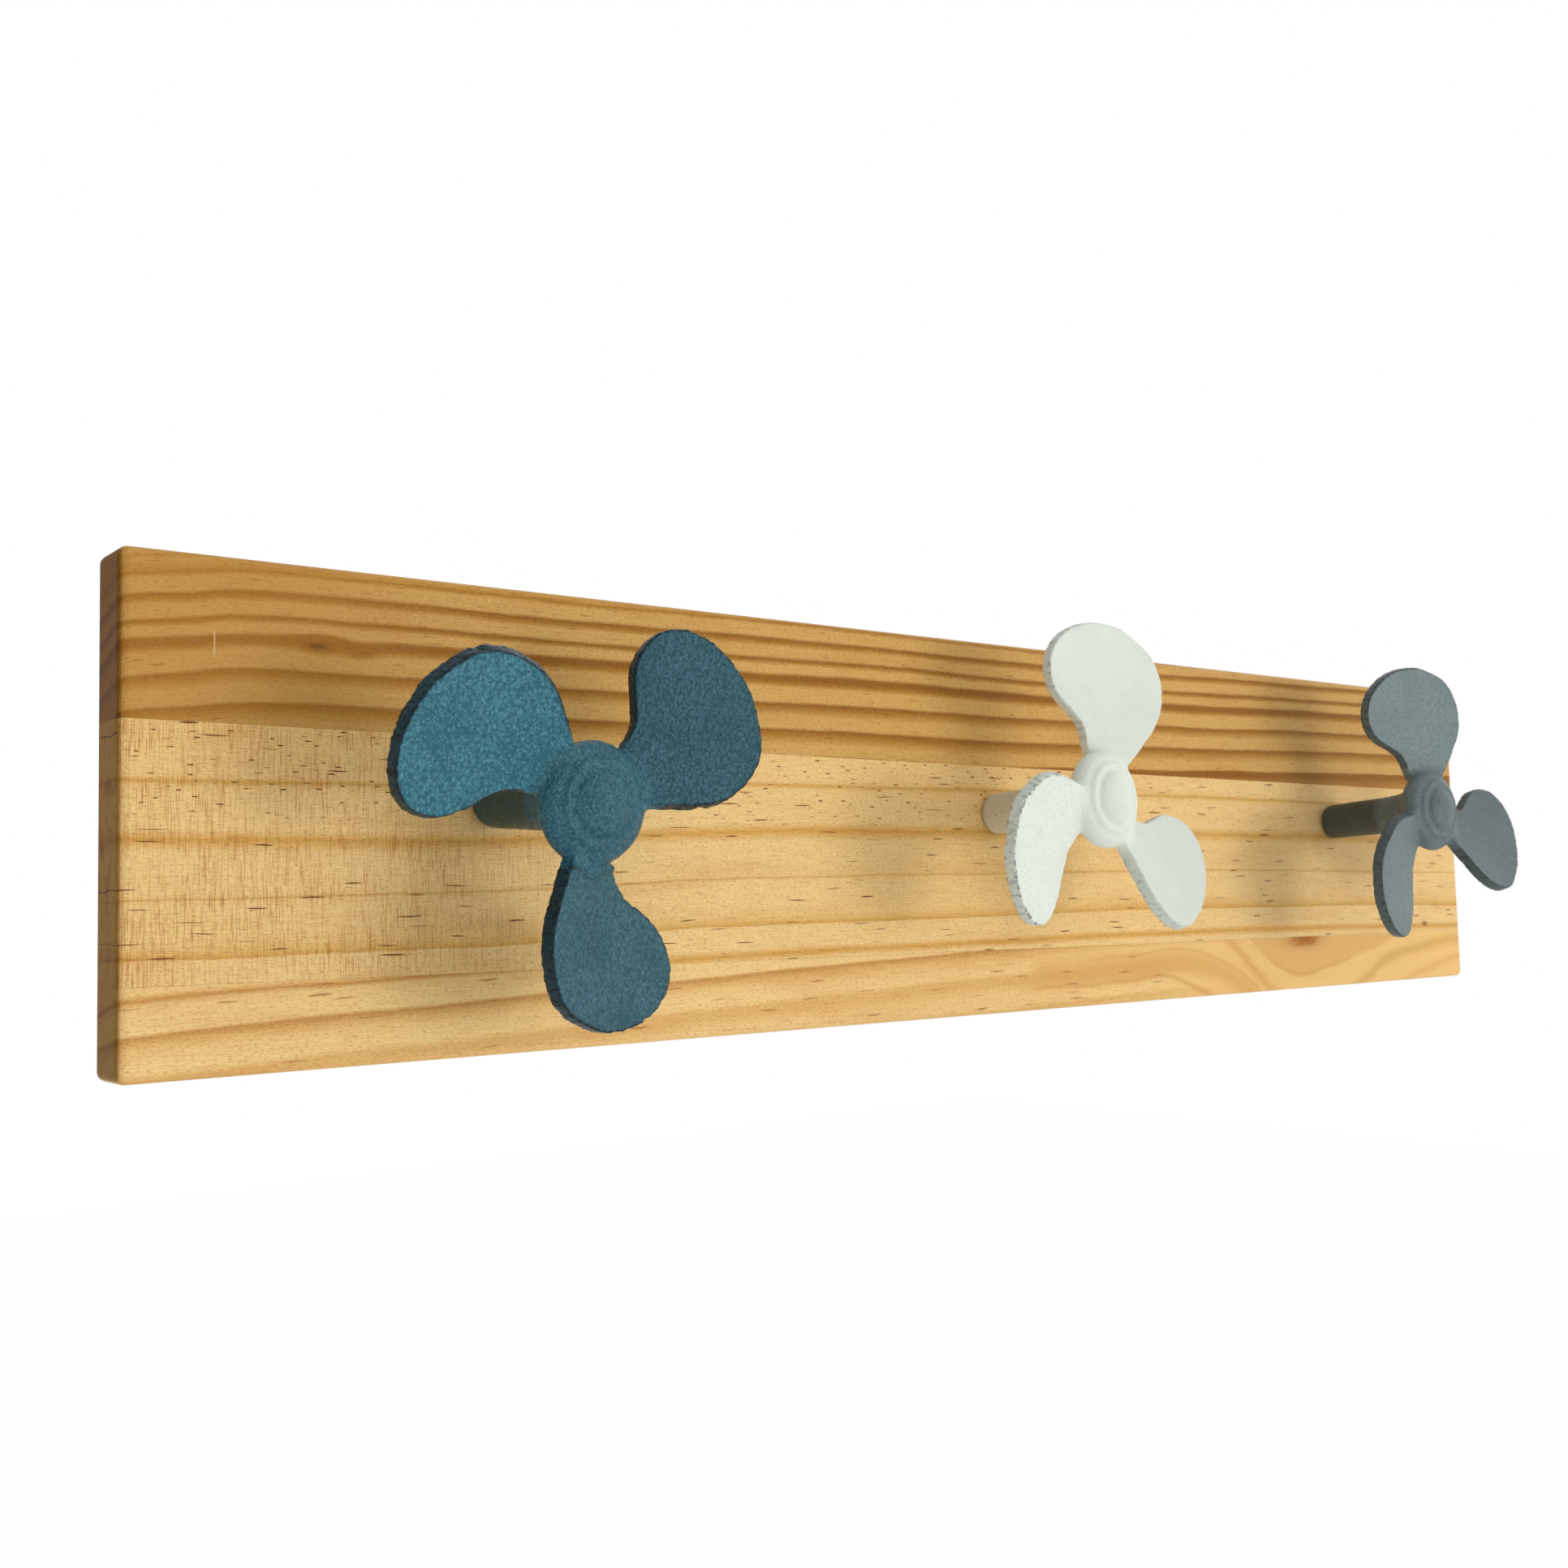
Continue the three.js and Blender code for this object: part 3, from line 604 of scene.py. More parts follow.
def lower_extra(g, q, colour):
    zf = g.add(g.z, 45.0)
    wavy = g.add(zf, g.signed(g.noise((22, 8, 5), 3.0), 1.6))
    # the flame around a knot: plain ground with broad soft arcs
    colour = g.mix(g.remap(g.x, 72.0, 128.0, 0.0, 0.9), colour, srgb(246, 201, 126))

    def arc(colour, points, half, amount, tone, low, high, side=0):
        """Soft band that follows a curve; side 1 fills everything above the curve instead."""
        off = g.sub(wavy, g.curve(g.x, points))
        if side:
            m = g.remap(off, -half, half)
        else:
            t = g.math("DIVIDE", off, half)
            m = g.math("EXPONENT", g.mul(g.mul(t, t), -1.0))
        m = g.mul(m, g.mul(g.remap(g.x, low, low + 12.0), g.remap(g.x, high, high - 8.0)))
        return g.mix(g.mul(m, amount), colour, tone)

    tan, deep = srgb(224, 168, 94), srgb(206, 146, 74)
    left = [(10, -52.0), (60, -51.0), (85, -50.0), (108, -52.5), (125, -57.5), (140, -64.0), (150, -68.0)]
    colour = arc(colour, left, 4.6, 0.7, tan, 8.0, 150.0)
    colour = arc(colour, [(10, -57.0), (60, -56.5), (78, -55.6), (92, -57.5), (110, -63.0), (120, -66.0)], 1.0, 0.5,
                 deep, 8.0, 120.0)
    colour = arc(colour, [(10, -47.0), (60, -47.4), (96, -46.2), (112, -48.6), (132, -56.0), (146, -64.0)], 0.8, 0.3,
                 deep, 40.0, 150.0)
    colour = arc(colour, [(118, -38.0), (130, -46.0), (140, -54.0), (151, -62.0), (158, -66.0)], 2.6, 0.75, tan,
                 108.0, 166.0)
    inner = [(134, -38.0), (142, -44.5), (150, -50.5), (160, -55.5), (174, -58.7), (190, -57.0), (210, -53.5),
             (228, -50.0), (245, -46.0), (256, -42.0)]
    colour = arc(colour, inner, 1.2, 0.62, srgb(228, 174, 102), 130.0, 262.0, side=1)
    colour = arc(colour, inner, 0.9, 0.4, deep, 146.0, 214.0)
    colour = arc(colour, [(212, -66.0), (224, -61.5), (234, -56.0), (250, -52.6), (268, -50.4), (300, -47.0)], 2.4, 0.8,
                 srgb(222, 172, 92), 206.0, 320.0)
    colour = arc(colour, [(250, -66.0), (262, -62.0), (280, -58.6), (300, -55.5)], 1.7, 0.5, tan, 244.0, 320.0)
    # the flank of the knot, cut by the glue line
    dx = g.math("DIVIDE", g.sub(g.x, 177.5), 14.5)
    dz = g.math("DIVIDE", g.sub(zf, -44.6), 4.2)
    rr = g.math("SQRT", g.add(g.mul(dx, dx), g.mul(dz, dz)))
    rr = g.add(rr, g.signed(g.noise((6, 3, 1.6), 3.0), 0.34))
    colour = g.mix(g.remap(rr, 1.6, 0.4, 0.0, 0.6), colour, srgb(206, 142, 66))
    colour = g.mix(g.remap(rr, 0.95, 0.4, 0.0, 0.75), colour, srgb(184, 112, 40))
    colour = g.mix(g.remap(rr, 0.5, 0.15, 0.0, 0.6), colour, srgb(156, 84, 24))
    d = streaks(g, g.x, g.sub(q, 0.4), 24.0, 2.6, 0.2, 0.12, 0.34, 0.07, 7, 0.04)
    d = g.mul(d, g.remap(g.x, 150.0, 60.0))
    return g.mix(g.mul(d, 0.7), colour, srgb(150, 90, 34))


# ------------------------------------------------------------------ paint, metal

def paint(name, base, dark, light, rough, peel, grain, wall_shade, wall_shade_tone, chip, chip_tone, stem_shade_tone, stem_shade_amount,
          crack, wear):
    """Thick paint on a sand casting: pebbled skin of grain mm with painted highlights on the pebbles and painted shade
    in the pits and hollows, painted shade on the narrow edges and the stem, cracks across the edges.
    """
    g = Graph(name)
    big = g.noise(16.0, 3.0, 0.55, (3, 1, 2))
    mid = g.noise(2.6, 3.0, 0.6, (7, 3, 5))
    v = g.nt.nodes.new("ShaderNodeTexVoronoi")
    v.feature, v.inputs["Scale"].default_value = "SMOOTH_F1", 1.0
    v.inputs["Smoothness"].default_value = 0.6
    wobble = g.vmath("SCALE", g.xyz(g.noise(1.7, 2.0, 0.5, (1, 2, 3)), g.noise(1.7, 2.0, 0.5, (4, 5, 6)),
                                    g.noise(1.7, 2.0, 0.5, (7, 8, 9))), scale=1.6)
    g.put(v.inputs["Vector"], g.vmath("ADD", g.vmath("SCALE", g.P, scale=1.0 / grain), wobble))
    pebble = g.remap(v.outputs["Distance"], 0.75, 0.05, smooth=False)
    small = g.noise(grain * 0.8, 2.0, 0.6, (1, 9, 4))
    relief = g.add(g.mul(pebble, 0.6), g.mul(small, 0.6))
    zone = g.attribute("skin")
    colour = g.mix(g.remap(big, 0.30, 0.60, 0.3, 1.0), dark, base)
    # painted shade in the pits between the pebbles, painted highlight on their tops
    colour = g.mix(g.mul(g.remap(relief, 0.53, 0.36, 0.0, 0.95), zone), colour, dark)
    colour = g.mix(g.mul(g.remap(relief, 0.60, 0.82, 0.0, 0.6), zone), colour, light)
    # painted light and shade: each blade and the hub made lighter or darker as the light falls on them
    tone = g.attribute("tone")
    colour = g.mix(1.0, colour, g.xyz(tone, tone, tone), "MULTIPLY")
    # stem: painted shade, darker and tinted by light bounced up from the wood
    stem = g.attribute("stem")
    colour = g.mix(g.mul(stem, stem_shade_amount), colour, stem_shade_tone)
    # painted shade on the narrow blade walls, which are cracked from front to back
    wall = g.attribute("wall")
    rag = g.add(wall, g.signed(g.noise(1.4, 2.0, 0.6, (2, 2, 7)), 0.22))
    on_wall = g.remap(rag, 0.4, 0.7)
    colour = g.mix(g.mul(on_wall, wall_shade), colour, wall_shade_tone)
    lines = g.noise((1.3, 9.0, 1.3), 3.0, 0.65, (6, 1, 3))
    cracks = g.mul(g.remap(lines, 0.56, 0.66), on_wall)
    colour = g.mix(g.mul(cracks, crack), colour, g.mix(0.6, wall_shade_tone, srgb(10, 12, 12)))
    # painted shade in the hollows of the casting
    hollow_shade = g.attribute("hollow_shade")
    colour = g.mix(g.mul(hollow_shade, 0.5), colour, dark)
    # chips and worn places on the arrises
    arris = g.attribute("arris")
    worn = g.mul(arris, g.remap(g.noise(2.0, 3.0, 0.65, (8, 5, 1)), wear, wear + 0.08))
    worn = g.mul(worn, g.mul(zone, zone))
    colour = g.mix(g.mul(worn, chip), colour, chip_tone)
    spots = g.remap(g.noise(0.9, 2.0, 0.65, (5, 5, 9)), 0.64, 0.70)
    colour = g.mix(g.mul(g.mul(spots, stem), chip), colour, srgb(58, 50, 42))
    g.set(Base_Color=colour)
    g.set(Roughness=g.remap(small, 0.3, 0.7, rough - 0.05, rough + 0.12, smooth=False))
    g.bsdf.inputs["Specular IOR Level"].default_value = 0.27
    height = g.mul(relief, g.add(g.mul(zone, 0.85), 0.15))
    n = g.bump(g.sub(height, g.mul(cracks, 0.8)), peel, 1.0)
    g.set(Normal=g.bump(mid, 0.14, 0.6, n))
    return g


def metal(name, base, other, rough, scratch=0.5, spots=None):
    g = Graph(name)
    cloud = g.noise(3.0, 3.0, 0.6, (1, 2, 3))
    lines = g.noise((9.0, 9.0, 0.18), 2.0, 0.6, (4, 4, 4))
    colour = g.mix(g.remap(cloud, 0.35, 0.65), base, other)
    if spots is not None:
        speck = g.remap(g.noise(0.9, 3.0, 0.7, (7, 1, 1)), 0.62, 0.72)
        colour = g.mix(g.mul(speck, 0.5), colour, spots)
    g.set(Base_Color=colour, Metallic=1.0)
    g.set(Roughness=g.remap(cloud, 0.3, 0.7, rough - 0.07, rough + 0.12, smooth=False))
    g.set(Normal=g.bump(g.add(g.mul(lines, 0.6), g.mul(cloud, 0.4)), 0.02, scratch))
    return g


pine_banded = pine("pine_banded", upper_ring, 14.0, 68.0, UPPER_STOPS, upper_extra)
pine_pale = pine("pine_pale", middle_ring, -46.0, 23.0, MIDDLE_STOPS, middle_extra)
pine_flame = pine("pine_flame", lower_ring, -72.0, -22.0, LOWER_STOPS, lower_extra)

# base, dark and light colours (light: painted highlight on the pebble tops), roughness, bump, grain, painted shade on
# the blade walls and its tone, chips and their tone, painted shade on the stem and its amount, cracks, wear
blue_paint = paint("blue_paint", srgb(54, 110, 125), srgb(32, 86, 100), srgb(92, 142, 156), 0.28, 0.52, 0.95,
                   0.85, srgb(8, 38, 46), 0.9, srgb(6, 22, 28), srgb(46, 70, 64), 0.8, 0.9, 0.34)
white_paint = paint("white_paint", srgb(232, 239, 227), srgb(224, 231, 220), srgb(243, 247, 240), 0.40, 0.26, 0.85,
                    0.35, srgb(204, 212, 205), 0.95, srgb(44, 38, 32), srgb(202, 191, 162), 0.75, 0.35, 0.50)
grey_paint = paint("grey_paint", srgb(113, 126, 127), srgb(100, 113, 114), srgb(124, 136, 138), 0.42, 0.14, 0.9,
                   0.6, srgb(60, 70, 70), 0.95, srgb(26, 34, 34), srgb(70, 70, 56), 0.75, 0.6, 0.40)
zinc = metal("zinc_steel", srgb(196, 200, 206), srgb(172, 178, 186), 0.32, 0.6, srgb(150, 152, 150))
spring = metal("spring_steel", srgb(120, 122, 126), srgb(96, 98, 104), 0.38, 0.6)
brass = metal("brassed_steel", srgb(206, 172, 96), srgb(186, 148, 74), 0.30, 0.7, srgb(150, 112, 52))


# ------------------------------------------------------------------ hooks

def blade_point(u, v, side):
    pitch = math.radians(BLADE_PITCH + BLADE_TWIST * (u - 30))
    h = side * BLADE_THICKNESS / 2 + BLADE_CUP * v * v
    across = v * math.cos(pitch) - h * math.sin(pitch)
    axial = BLADE_PLANE + BLADE_RAKE * (u - 30) + v * math.sin(pitch) + h * math.cos(pitch)
    return across, u, axial


def blade(k, to_row, draft):
    """Closed mesh of blade k in the row frame; its face is smaller than its back by the mould's draft."""
    outline = spline(BLADE_OUTLINE, 4, closed=True)
    s0, s1 = (np.array(p) for p in BLADE_SPINE)
    line = s1 - s0
    t = np.clip(((outline - s0) @ line) / (line @ line), 0, 1)
    foot = s0 + t[:, None] * line
    rings = [foot + (outline - foot) * f for f in (1.0, 0.9, 0.75, 0.6, 0.45, 0.3, 0.15, 0.05)]
    n = len(outline)
    a = -k * 2 * math.pi / 3
    ca, sa = math.cos(a), math.sin(a)
    verts, faces = [], []

    reach = np.maximum(np.linalg.norm(outline - foot, axis=1), 3.0)
    shrink = (1 - draft / reach)[:, None]

    def put(p, side):
        x, y, z = blade_point(p[0], p[1], side)
        verts.append(to_row((x * ca - y * sa, x * sa + y * ca, z)))

    for side in (1, -1):
        for ring in rings:
            for p in (foot + (ring - foot) * shrink if side == 1 else ring):
                put(p, side)
    m = len(rings)
    for s in (0, 1):
        base = s * m * n
        for r in range(m - 1):
            for i in range(n):
                j = (i + 1) % n
                faces.append([base + r * n + i, base + r * n + j, base + (r + 1) * n + j, base + (r + 1) * n + i])
        faces.append([base + (m - 1) * n + i for i in range(n)])
    for i in range(n):
        j = (i + 1) % n
        faces.append([i, j, m * n + j, m * n + i])
    return add_mesh("blade", verts, faces)


def casting(name, clock, lean, side, grit, nick, wave, bead, draft, skins, painted_light_tones, voxel):
    at = centre(f"{name}_hook_screw")
    origin = Vector((at.x, -BOARD_THICKNESS, at.z))
    c, l, s = (math.radians(v) for v in (clock, lean, side))
    up0 = Vector((math.sin(c), 0, math.cos(c)))
    right0 = Vector((math.cos(c), 0, -math.sin(c)))
    out = (Vector((0, -1, 0)) * math.cos(l) * math.cos(s) + up0 * math.sin(l) + right0 * math.sin(s)).normalized()
    up = (up0 - out * up0.dot(out)).normalized()
    right = up.cross(out).normalized()

    def to_row(p):
        return tuple(origin + right * p[0] + up * p[1] + out * p[2])

    hub = spline([(r, a) for a, r in HUB_PROFILE], 5)
    profile = [(0, -3), (STEM_BASE_R, -3)]
    profile += [(STEM_BASE_R + (STEM_HEAD_R - STEM_BASE_R) * k / 12, 2 + 25 * k / 12) for k in range(12)]
    profile += [(max(r, 0.0), a) for r, a in hub]
    profile[-1] = (0.0, HUB_PROFILE[-1][0])
    ob = turned(f"{name}_hook_casting", profile, 96, origin, (right, up, out))
    for k in range(3):
        boolean(ob, blade(k, to_row, draft[k]), "UNION")
    end = [(0, 0.3), (STEM_BASE_R - 1.6, 0.3)]
    end += [(STEM_BASE_R - 1.6 + 1.6 * math.sin(t), 0.3 + 1.6 * (1 - math.cos(t))) for t in
            [math.radians(15 * k) for k in range(1, 7)]]
    end += [(STEM_BASE_R + 0.7, 3.2), (90, 24), (90, 90), (0, 90)]
    boolean(ob, turned("end", end, 96, origin), "INTERSECT")
    boolean(ob, turned("hole", [(0, -3), (TAPPED_HOLE_R, -3), (TAPPED_HOLE_R, TAPPED_HOLE_END - 1),
                                (0, TAPPED_HOLE_END)], 48, origin), "DIFFERENCE")
    m = ob.modifiers.new("v", "REMESH")
    m.mode, m.voxel_size, m.adaptivity = "VOXEL", voxel * MM, 0.0
    apply(ob)
    me = ob.data
    n = len(me.vertices)
    co = np.zeros(n * 3, np.float32)
    me.vertices.foreach_get("co", co)
    co = co.reshape(-1, 3).astype(float) / MM
    ed = np.zeros(len(me.edges) * 2, np.int32)
    me.edges.foreach_get("vertices", ed)
    ea, eb = ed.reshape(-1, 2).T
    count = np.bincount(ea, minlength=n) + np.bincount(eb, minlength=n)

    def mean(v):
        v = v.reshape(n, -1)
        total = np.stack([np.bincount(ea, v[eb, k], n) + np.bincount(eb, v[ea, k], n) for k in range(v.shape[1])], 1)
        return total / count[:, None]

    def normals(v):
        me.vertices.foreach_set("co", (v * MM).astype(np.float32).ravel())
        me.update()
        out_n = np.zeros(n * 3, np.float32)
        me.vertex_normals.foreach_get("vector", out_n)
        return out_n.reshape(-1, 3).astype(float)

    o, R = np.array(origin), np.array([right, up, out])

    def local(v):
        return (v - o) @ R.T

    lc = local(co)
    radius = np.hypot(lc[:, 0], lc[:, 1])
    # the tapped hole and the end face keep their shape
    free = step(0.0, 2.0, (-BOARD_THICKNESS - 3.0) - co[:, 1])
    co += (mean(co) - co) * 0.5
    # cast fillets: hollows fill, raised edges stay
    fillet = free * step(12.8, 14.0, radius)
    for i in range(70):
        if i % 4 == 0:
            nrm = normals(co)
        d = np.einsum("ij,ij->i", mean(co) - co, nrm)
        co += (np.clip(d, 0, None) * 0.9 * fillet)[:, None] * nrm
    co += (mean(co) - co) * 0.5 * free[:, None]
    nose = free * step(14.5, 12.5, radius) * step(48.0, 49.5, lc[:, 2])
    for i in range(5):
        co += (mean(co) - co) * 0.5 * nose[:, None]
    nrm = normals(co)
    lc, ln = local(co), nrm @ R.T
    radius = np.hypot(lc[:, 0], lc[:, 1])

    # which blade, and how far a point's face is turned from the blade's own face
    ang = np.arctan2(lc[:, 0], lc[:, 1])
    k = np.round(ang / (2 * math.pi / 3)).astype(int)
    a = k * 2 * math.pi / 3
    nx = ln[:, 0] * np.cos(a) - ln[:, 1] * np.sin(a)
    bu = lc[:, 0] * np.sin(a) + lc[:, 1] * np.cos(a)
    bx = lc[:, 0] * np.cos(a) - lc[:, 1] * np.sin(a)
    pitch = np.radians(BLADE_PITCH + BLADE_TWIST * (bu - 30))
    facing = -nx * np.sin(pitch) + ln[:, 2] * np.cos(pitch)
    on_blade = step(17.0, 22.0, radius) * step(38.0, 42.0, lc[:, 2] + 8)
    wall = on_blade * step(0.95, 0.75, np.abs(facing))

    # uneven casting surface, grit of the sand mould, nicks along the edges
    # skin: how coarse the paint is; tone: painted light and shade per blade and on the hub
    skin, tone = np.full(n, skins[3]), np.full(n, painted_light_tones[3])
    for number in (0, 1, 2):
        part = (k % 3 == number) * step(15.0, 20.0, radius)
        skin += (skins[number] - skins[3]) * part
        tone += (painted_light_tones[number] - painted_light_tones[3]) * part
    move = wave * noise(co, 11.0, 3) + 0.5 * wave * noise(co, 5.0, 4)
    move += grit * (noise(co, 2.0, 5) + 0.8 * noise(co, 1.2, 6)) * (0.3 + 0.7 * skin)
    edge_mean = wall.copy()
    for i in range(3):
        edge_mean = mean(edge_mean)[:, 0]
    rim = step(0.1, 0.7, edge_mean)
    across = co * np.array([1.0, 0.3, 1.0])
    bite = np.clip(noise(across, 2.6, 7) - 0.10, 0, None) + 0.6 * np.clip(noise(co, 5.5, 9) - 0.2, 0, None)
    move += rim * (0.10 + nick * 0.5 - nick * 1.7 * bite + nick * 0.4 * noise(across, 1.7, 8))
    if bead:
        # a raised seam across the root of the first blade
        seam = np.exp(-((radius - 18.4 - 0.5 * noise(co, 4.0, 12)) / 0.9) ** 2) * (k % 3 == 0) * step(0.2, 0.5, ln[:, 2])
        move += bead * seam
    co += (move * free)[:, None] * nrm
    co += (mean(co) - co) * 0.12 * free[:, None]
    nrm = normals(co)

    # what the paint needs to know about the shape
    bend = np.einsum("ij,ij->i", mean(co) - co, nrm)
    for i in range(2):
        bend = mean(bend)[:, 0]
    arris = step(0.022, 0.07, -bend)
    # concave places, where the paint gets painted shade
    hollow_shade = step(0.012, 0.05, bend)
    for i in range(4):
        hollow_shade = mean(hollow_shade)[:, 0]
    stem = step(30.0, 24.0, lc[:, 2])
    for label, values in (("wall", wall), ("arris", arris), ("hollow_shade", hollow_shade), ("stem", stem), ("skin", skin),
                          ("tone", tone)):
        me.attributes.new(label, "FLOAT", "POINT").data.foreach_set("value", values.astype(np.float32))
    me.polygons.foreach_set("use_smooth", [True] * len(me.polygons))
    me.update()
    return ob


VOXEL = 0.47
PAINTS = {"blue": blue_paint, "white": white_paint, "grey": grey_paint}
# grit of the surface, nicks along the edges, waviness, seam at a blade root and draft of the
# blade edges (mm), then how coarse the paint is on each blade and on the hub, and how much painted light and shade each
# of them gets
FINISH = {
    "blue": (0.10, 0.36, 0.10, 1.0, (0.1, 1.2, 0.4), (1.0, 1.0, 0.9, 0.8), (0.77, 1.30, 0.73, 0.88)),
    "white": (0.05, 0.16, 0.08, 0.0, (0.4, 0.4, 0.4), (0.25, 0.2, 1.0, 0.3), (1.0, 0.87, 1.02, 0.98)),
    "grey": (0.025, 0.14, 0.07, 0.0, (0.5, 0.3, 0.5), (1.0, 1.0, 1.0, 1.0), (1.26, 0.84, 0.95, 0.90)),
}
for name, (clock, lean, side) in HOOKS.items():
    ob = casting(name, clock, lean, side, *FINISH[name], VOXEL)
    finish_piece(ob, f"{name}_hook", [f"{name}_propeller_hook"], PAINTS[name].mat, f"{name}_paint")


# ------------------------------------------------------------------ screws and washers

def threaded(name, at, head, r, root, pitch, start, tip, point, recess, segments=40):
    """Screw pointing to the front: head profile, then a threaded shank from start to tip (y, mm)."""
    at = np.array(at, float)
    verts, faces, rows = [], [], []
    # head and plain neck, a turned profile of (radius, y)
    for rad, y in head:
        row = []
        for k in range(segments):
            t = 2 * math.pi * k / segments
            row.append(len(verts))
            verts.append(at + [rad * math.cos(t), y, rad * math.sin(t)])
        rows.append(row)
    steps = max(int((start - tip) / pitch * 10), 8)
    for i in range(1, steps + 1):
        y = start + (tip - start) * i / steps
        row = []
        for k in range(segments):
            t = 2 * math.pi * k / segments
            ph = ((y - start) / pitch + k / segments) % 1.0
            tri = 1 - abs(2 * ph - 1)
            crest = min(max((tri - 0.15) / 0.7, 0), 1)
            run_in = min(1.0, (start - y) / (pitch * 1.5))
            limit = min(1.0, max(0.0, (y - tip) / point)) if point > 0 else 1.0
            top = root + (r - root) * crest * run_in + (r - root) * (1 - run_in)
            rad = max(top * (0.25 + 0.75 * limit) if point > 0 else top, 0.05)
            row.append(len(verts))
            verts.append(at + [rad * math.cos(t), y, rad * math.sin(t)])
        rows.append(row)
    for a, b in zip(rows, rows[1:]):
        for k in range(segments):
            j = (k + 1) % segments
            faces.append([a[k], a[j], b[j], b[k]])
    faces.append(rows[0][::-1])
    faces.append(rows[-1])
    ob = add_mesh(name, verts, faces)
    depth, half, reach, turn = recess
    face = head[0][1]
    for k in range(2):
        a = turn + k * math.pi / 2
        v = []
        for y, rr, hh in ((0.6, reach * 1.12, half), (-depth, reach * 0.5, half * 0.7)):
            for sx, sz in ((-1, -1), (1, -1), (1, 1), (-1, 1)):
                px, pz = sx * rr, sz * hh
                v.append(at + [px * math.cos(a) - pz * math.sin(a), face + y, px * math.sin(a) + pz * math.cos(a)])
        f = [[0, 1, 2, 3], [4, 5, 6, 7]] + [[i, (i + 1) % 4, 4 + (i + 1) % 4, 4 + i] for i in range(4)]
        boolean(ob, add_mesh("arm", v, f), "DIFFERENCE", "EXACT")
    shade(ob, 32)
    return ob


def machine_screw(name, at):
    H, f, s = SCREW_HEAD_R, SCREW_HEAD_FACE_Y, SCREW_SEAT_Y
    head = [(0.3, f), (H * 0.45, f - 0.03)]
    head += [(H * 0.45 + (H * 0.55) * math.sin(math.radians(t)), f - 2.2 + 2.17 * math.cos(math.radians(t)))
             for t in (12, 25, 38, 50, 62, 74, 90)]
    head += [(H, s + 0.35), (H - 0.12, s + 0.1), (H - 0.35, s), (SCREW_R + 0.25, s), (SCREW_R, s - 0.25)]
    ob = threaded(name, (at.x, 0, at.z), head, SCREW_R, SCREW_R - 0.5, 1.0, s - 1.2, SCREW_TIP_Y, 0.9,
                  (2.0, 0.6, 2.6, 0.0))
    return ob


def wood_screw(name, at):
    head = [(0.2, -0.25), (2.7, -0.25), (2.88, -0.32), (2.88, -0.45), (1.6, -1.55), (1.35, -1.9)]
    return threaded(name, (at.x, 0, at.z), head, 1.35, 0.95, 1.25, -2.6, -12.6, 2.6, (0.95, 0.33, 1.5, math.pi / 4), 28)


def washer(name, at, inner, outer, back, front, rim=0.18):
    mid = []
    for r0, a0, t0 in ((outer - rim, -back + rim, -90), (outer - rim, -front - rim, 0)):
        mid += [(r0 + rim * math.cos(math.radians(t0 + 30 * k)), a0 + rim * math.sin(math.radians(t0 + 30 * k)))
                for k in range(4)]
    for r0, a0, t0 in ((inner + rim, -front - rim, 90), (inner + rim, -back + rim, 180)):
        mid += [(r0 + rim * math.cos(math.radians(t0 + 30 * k)), a0 + rim * math.sin(math.radians(t0 + 30 * k)))
                for k in range(4)]
    ob = turned(name, mid, 72, (at.x, 0, at.z), ring=True)
    return shade(ob, 40)


def lock_washer(name, at):
    inner, outer, back, front, slot, lead = 3.2, 5.6, -4.65, -6.05, 0.1, 0.3
    depth, rim, n = back - front - lead, 0.12, 72
    section = []
    for cr, ca, t0 in ((outer - rim, rim, -90), (outer - rim, depth - rim, 0), (inner + rim, depth - rim, 90),
                       (inner + rim, rim, 180)):
        section += [(cr + rim * math.cos(math.radians(t0 + 45 * k)), ca + rim * math.sin(math.radians(t0 + 45 * k)))
                    for k in range(3)]
    verts, rows = [], []
    for i in range(n + 1):
        row = []
        for r, a in section:
            t = slot + (2 * math.pi - 2 * slot) * i / n
            skew = 0.03 * (r - inner) * (1 if i == 0 else -1 if i == n else 0)
            row.append(len(verts))
            verts.append((at.x + r * math.cos(t - skew), back - lead * t / (2 * math.pi) - a,
                          at.z + r * math.sin(t - skew)))
        rows.append(row)
    m = len(section)
    faces = [[a[k], a[(k + 1) % m], b[(k + 1) % m], b[k]] for a, b in zip(rows, rows[1:]) for k in range(m)]
    faces += [rows[0][::-1], rows[-1]]
    return shade(add_mesh(name, verts, faces), 40)


for name in HOOKS:
    at = centre(f"{name}_hook_screw")
    finish_piece(machine_screw(f"{name}_machine_screw", at), f"{name}_hook", [f"{name}_hook_screw"], zinc.mat, "zinc_steel")
    finish_piece(washer(f"{name}_plain_washer", at, 3.3, 6.4, -6.5, -7.9), "rack", [f"{name}_hook_flat_washer"],
                 zinc.mat, "zinc_steel")
    finish_piece(lock_washer(f"{name}_spring_washer", at), f"{name}_hook", [f"{name}_hook_lock_washer"],
                 spring.mat, "spring_steel")


# ------------------------------------------------------------------ hanger plates

def keyhole():
    meet = math.degrees(math.asin(KEY_HALF / KEY_R))
    return (arc(0, KEY_TOP, KEY_HALF, 0, 180, 16)
            + arc(0, KEY_Z, KEY_R, 90 + meet, 450 - meet, 48))


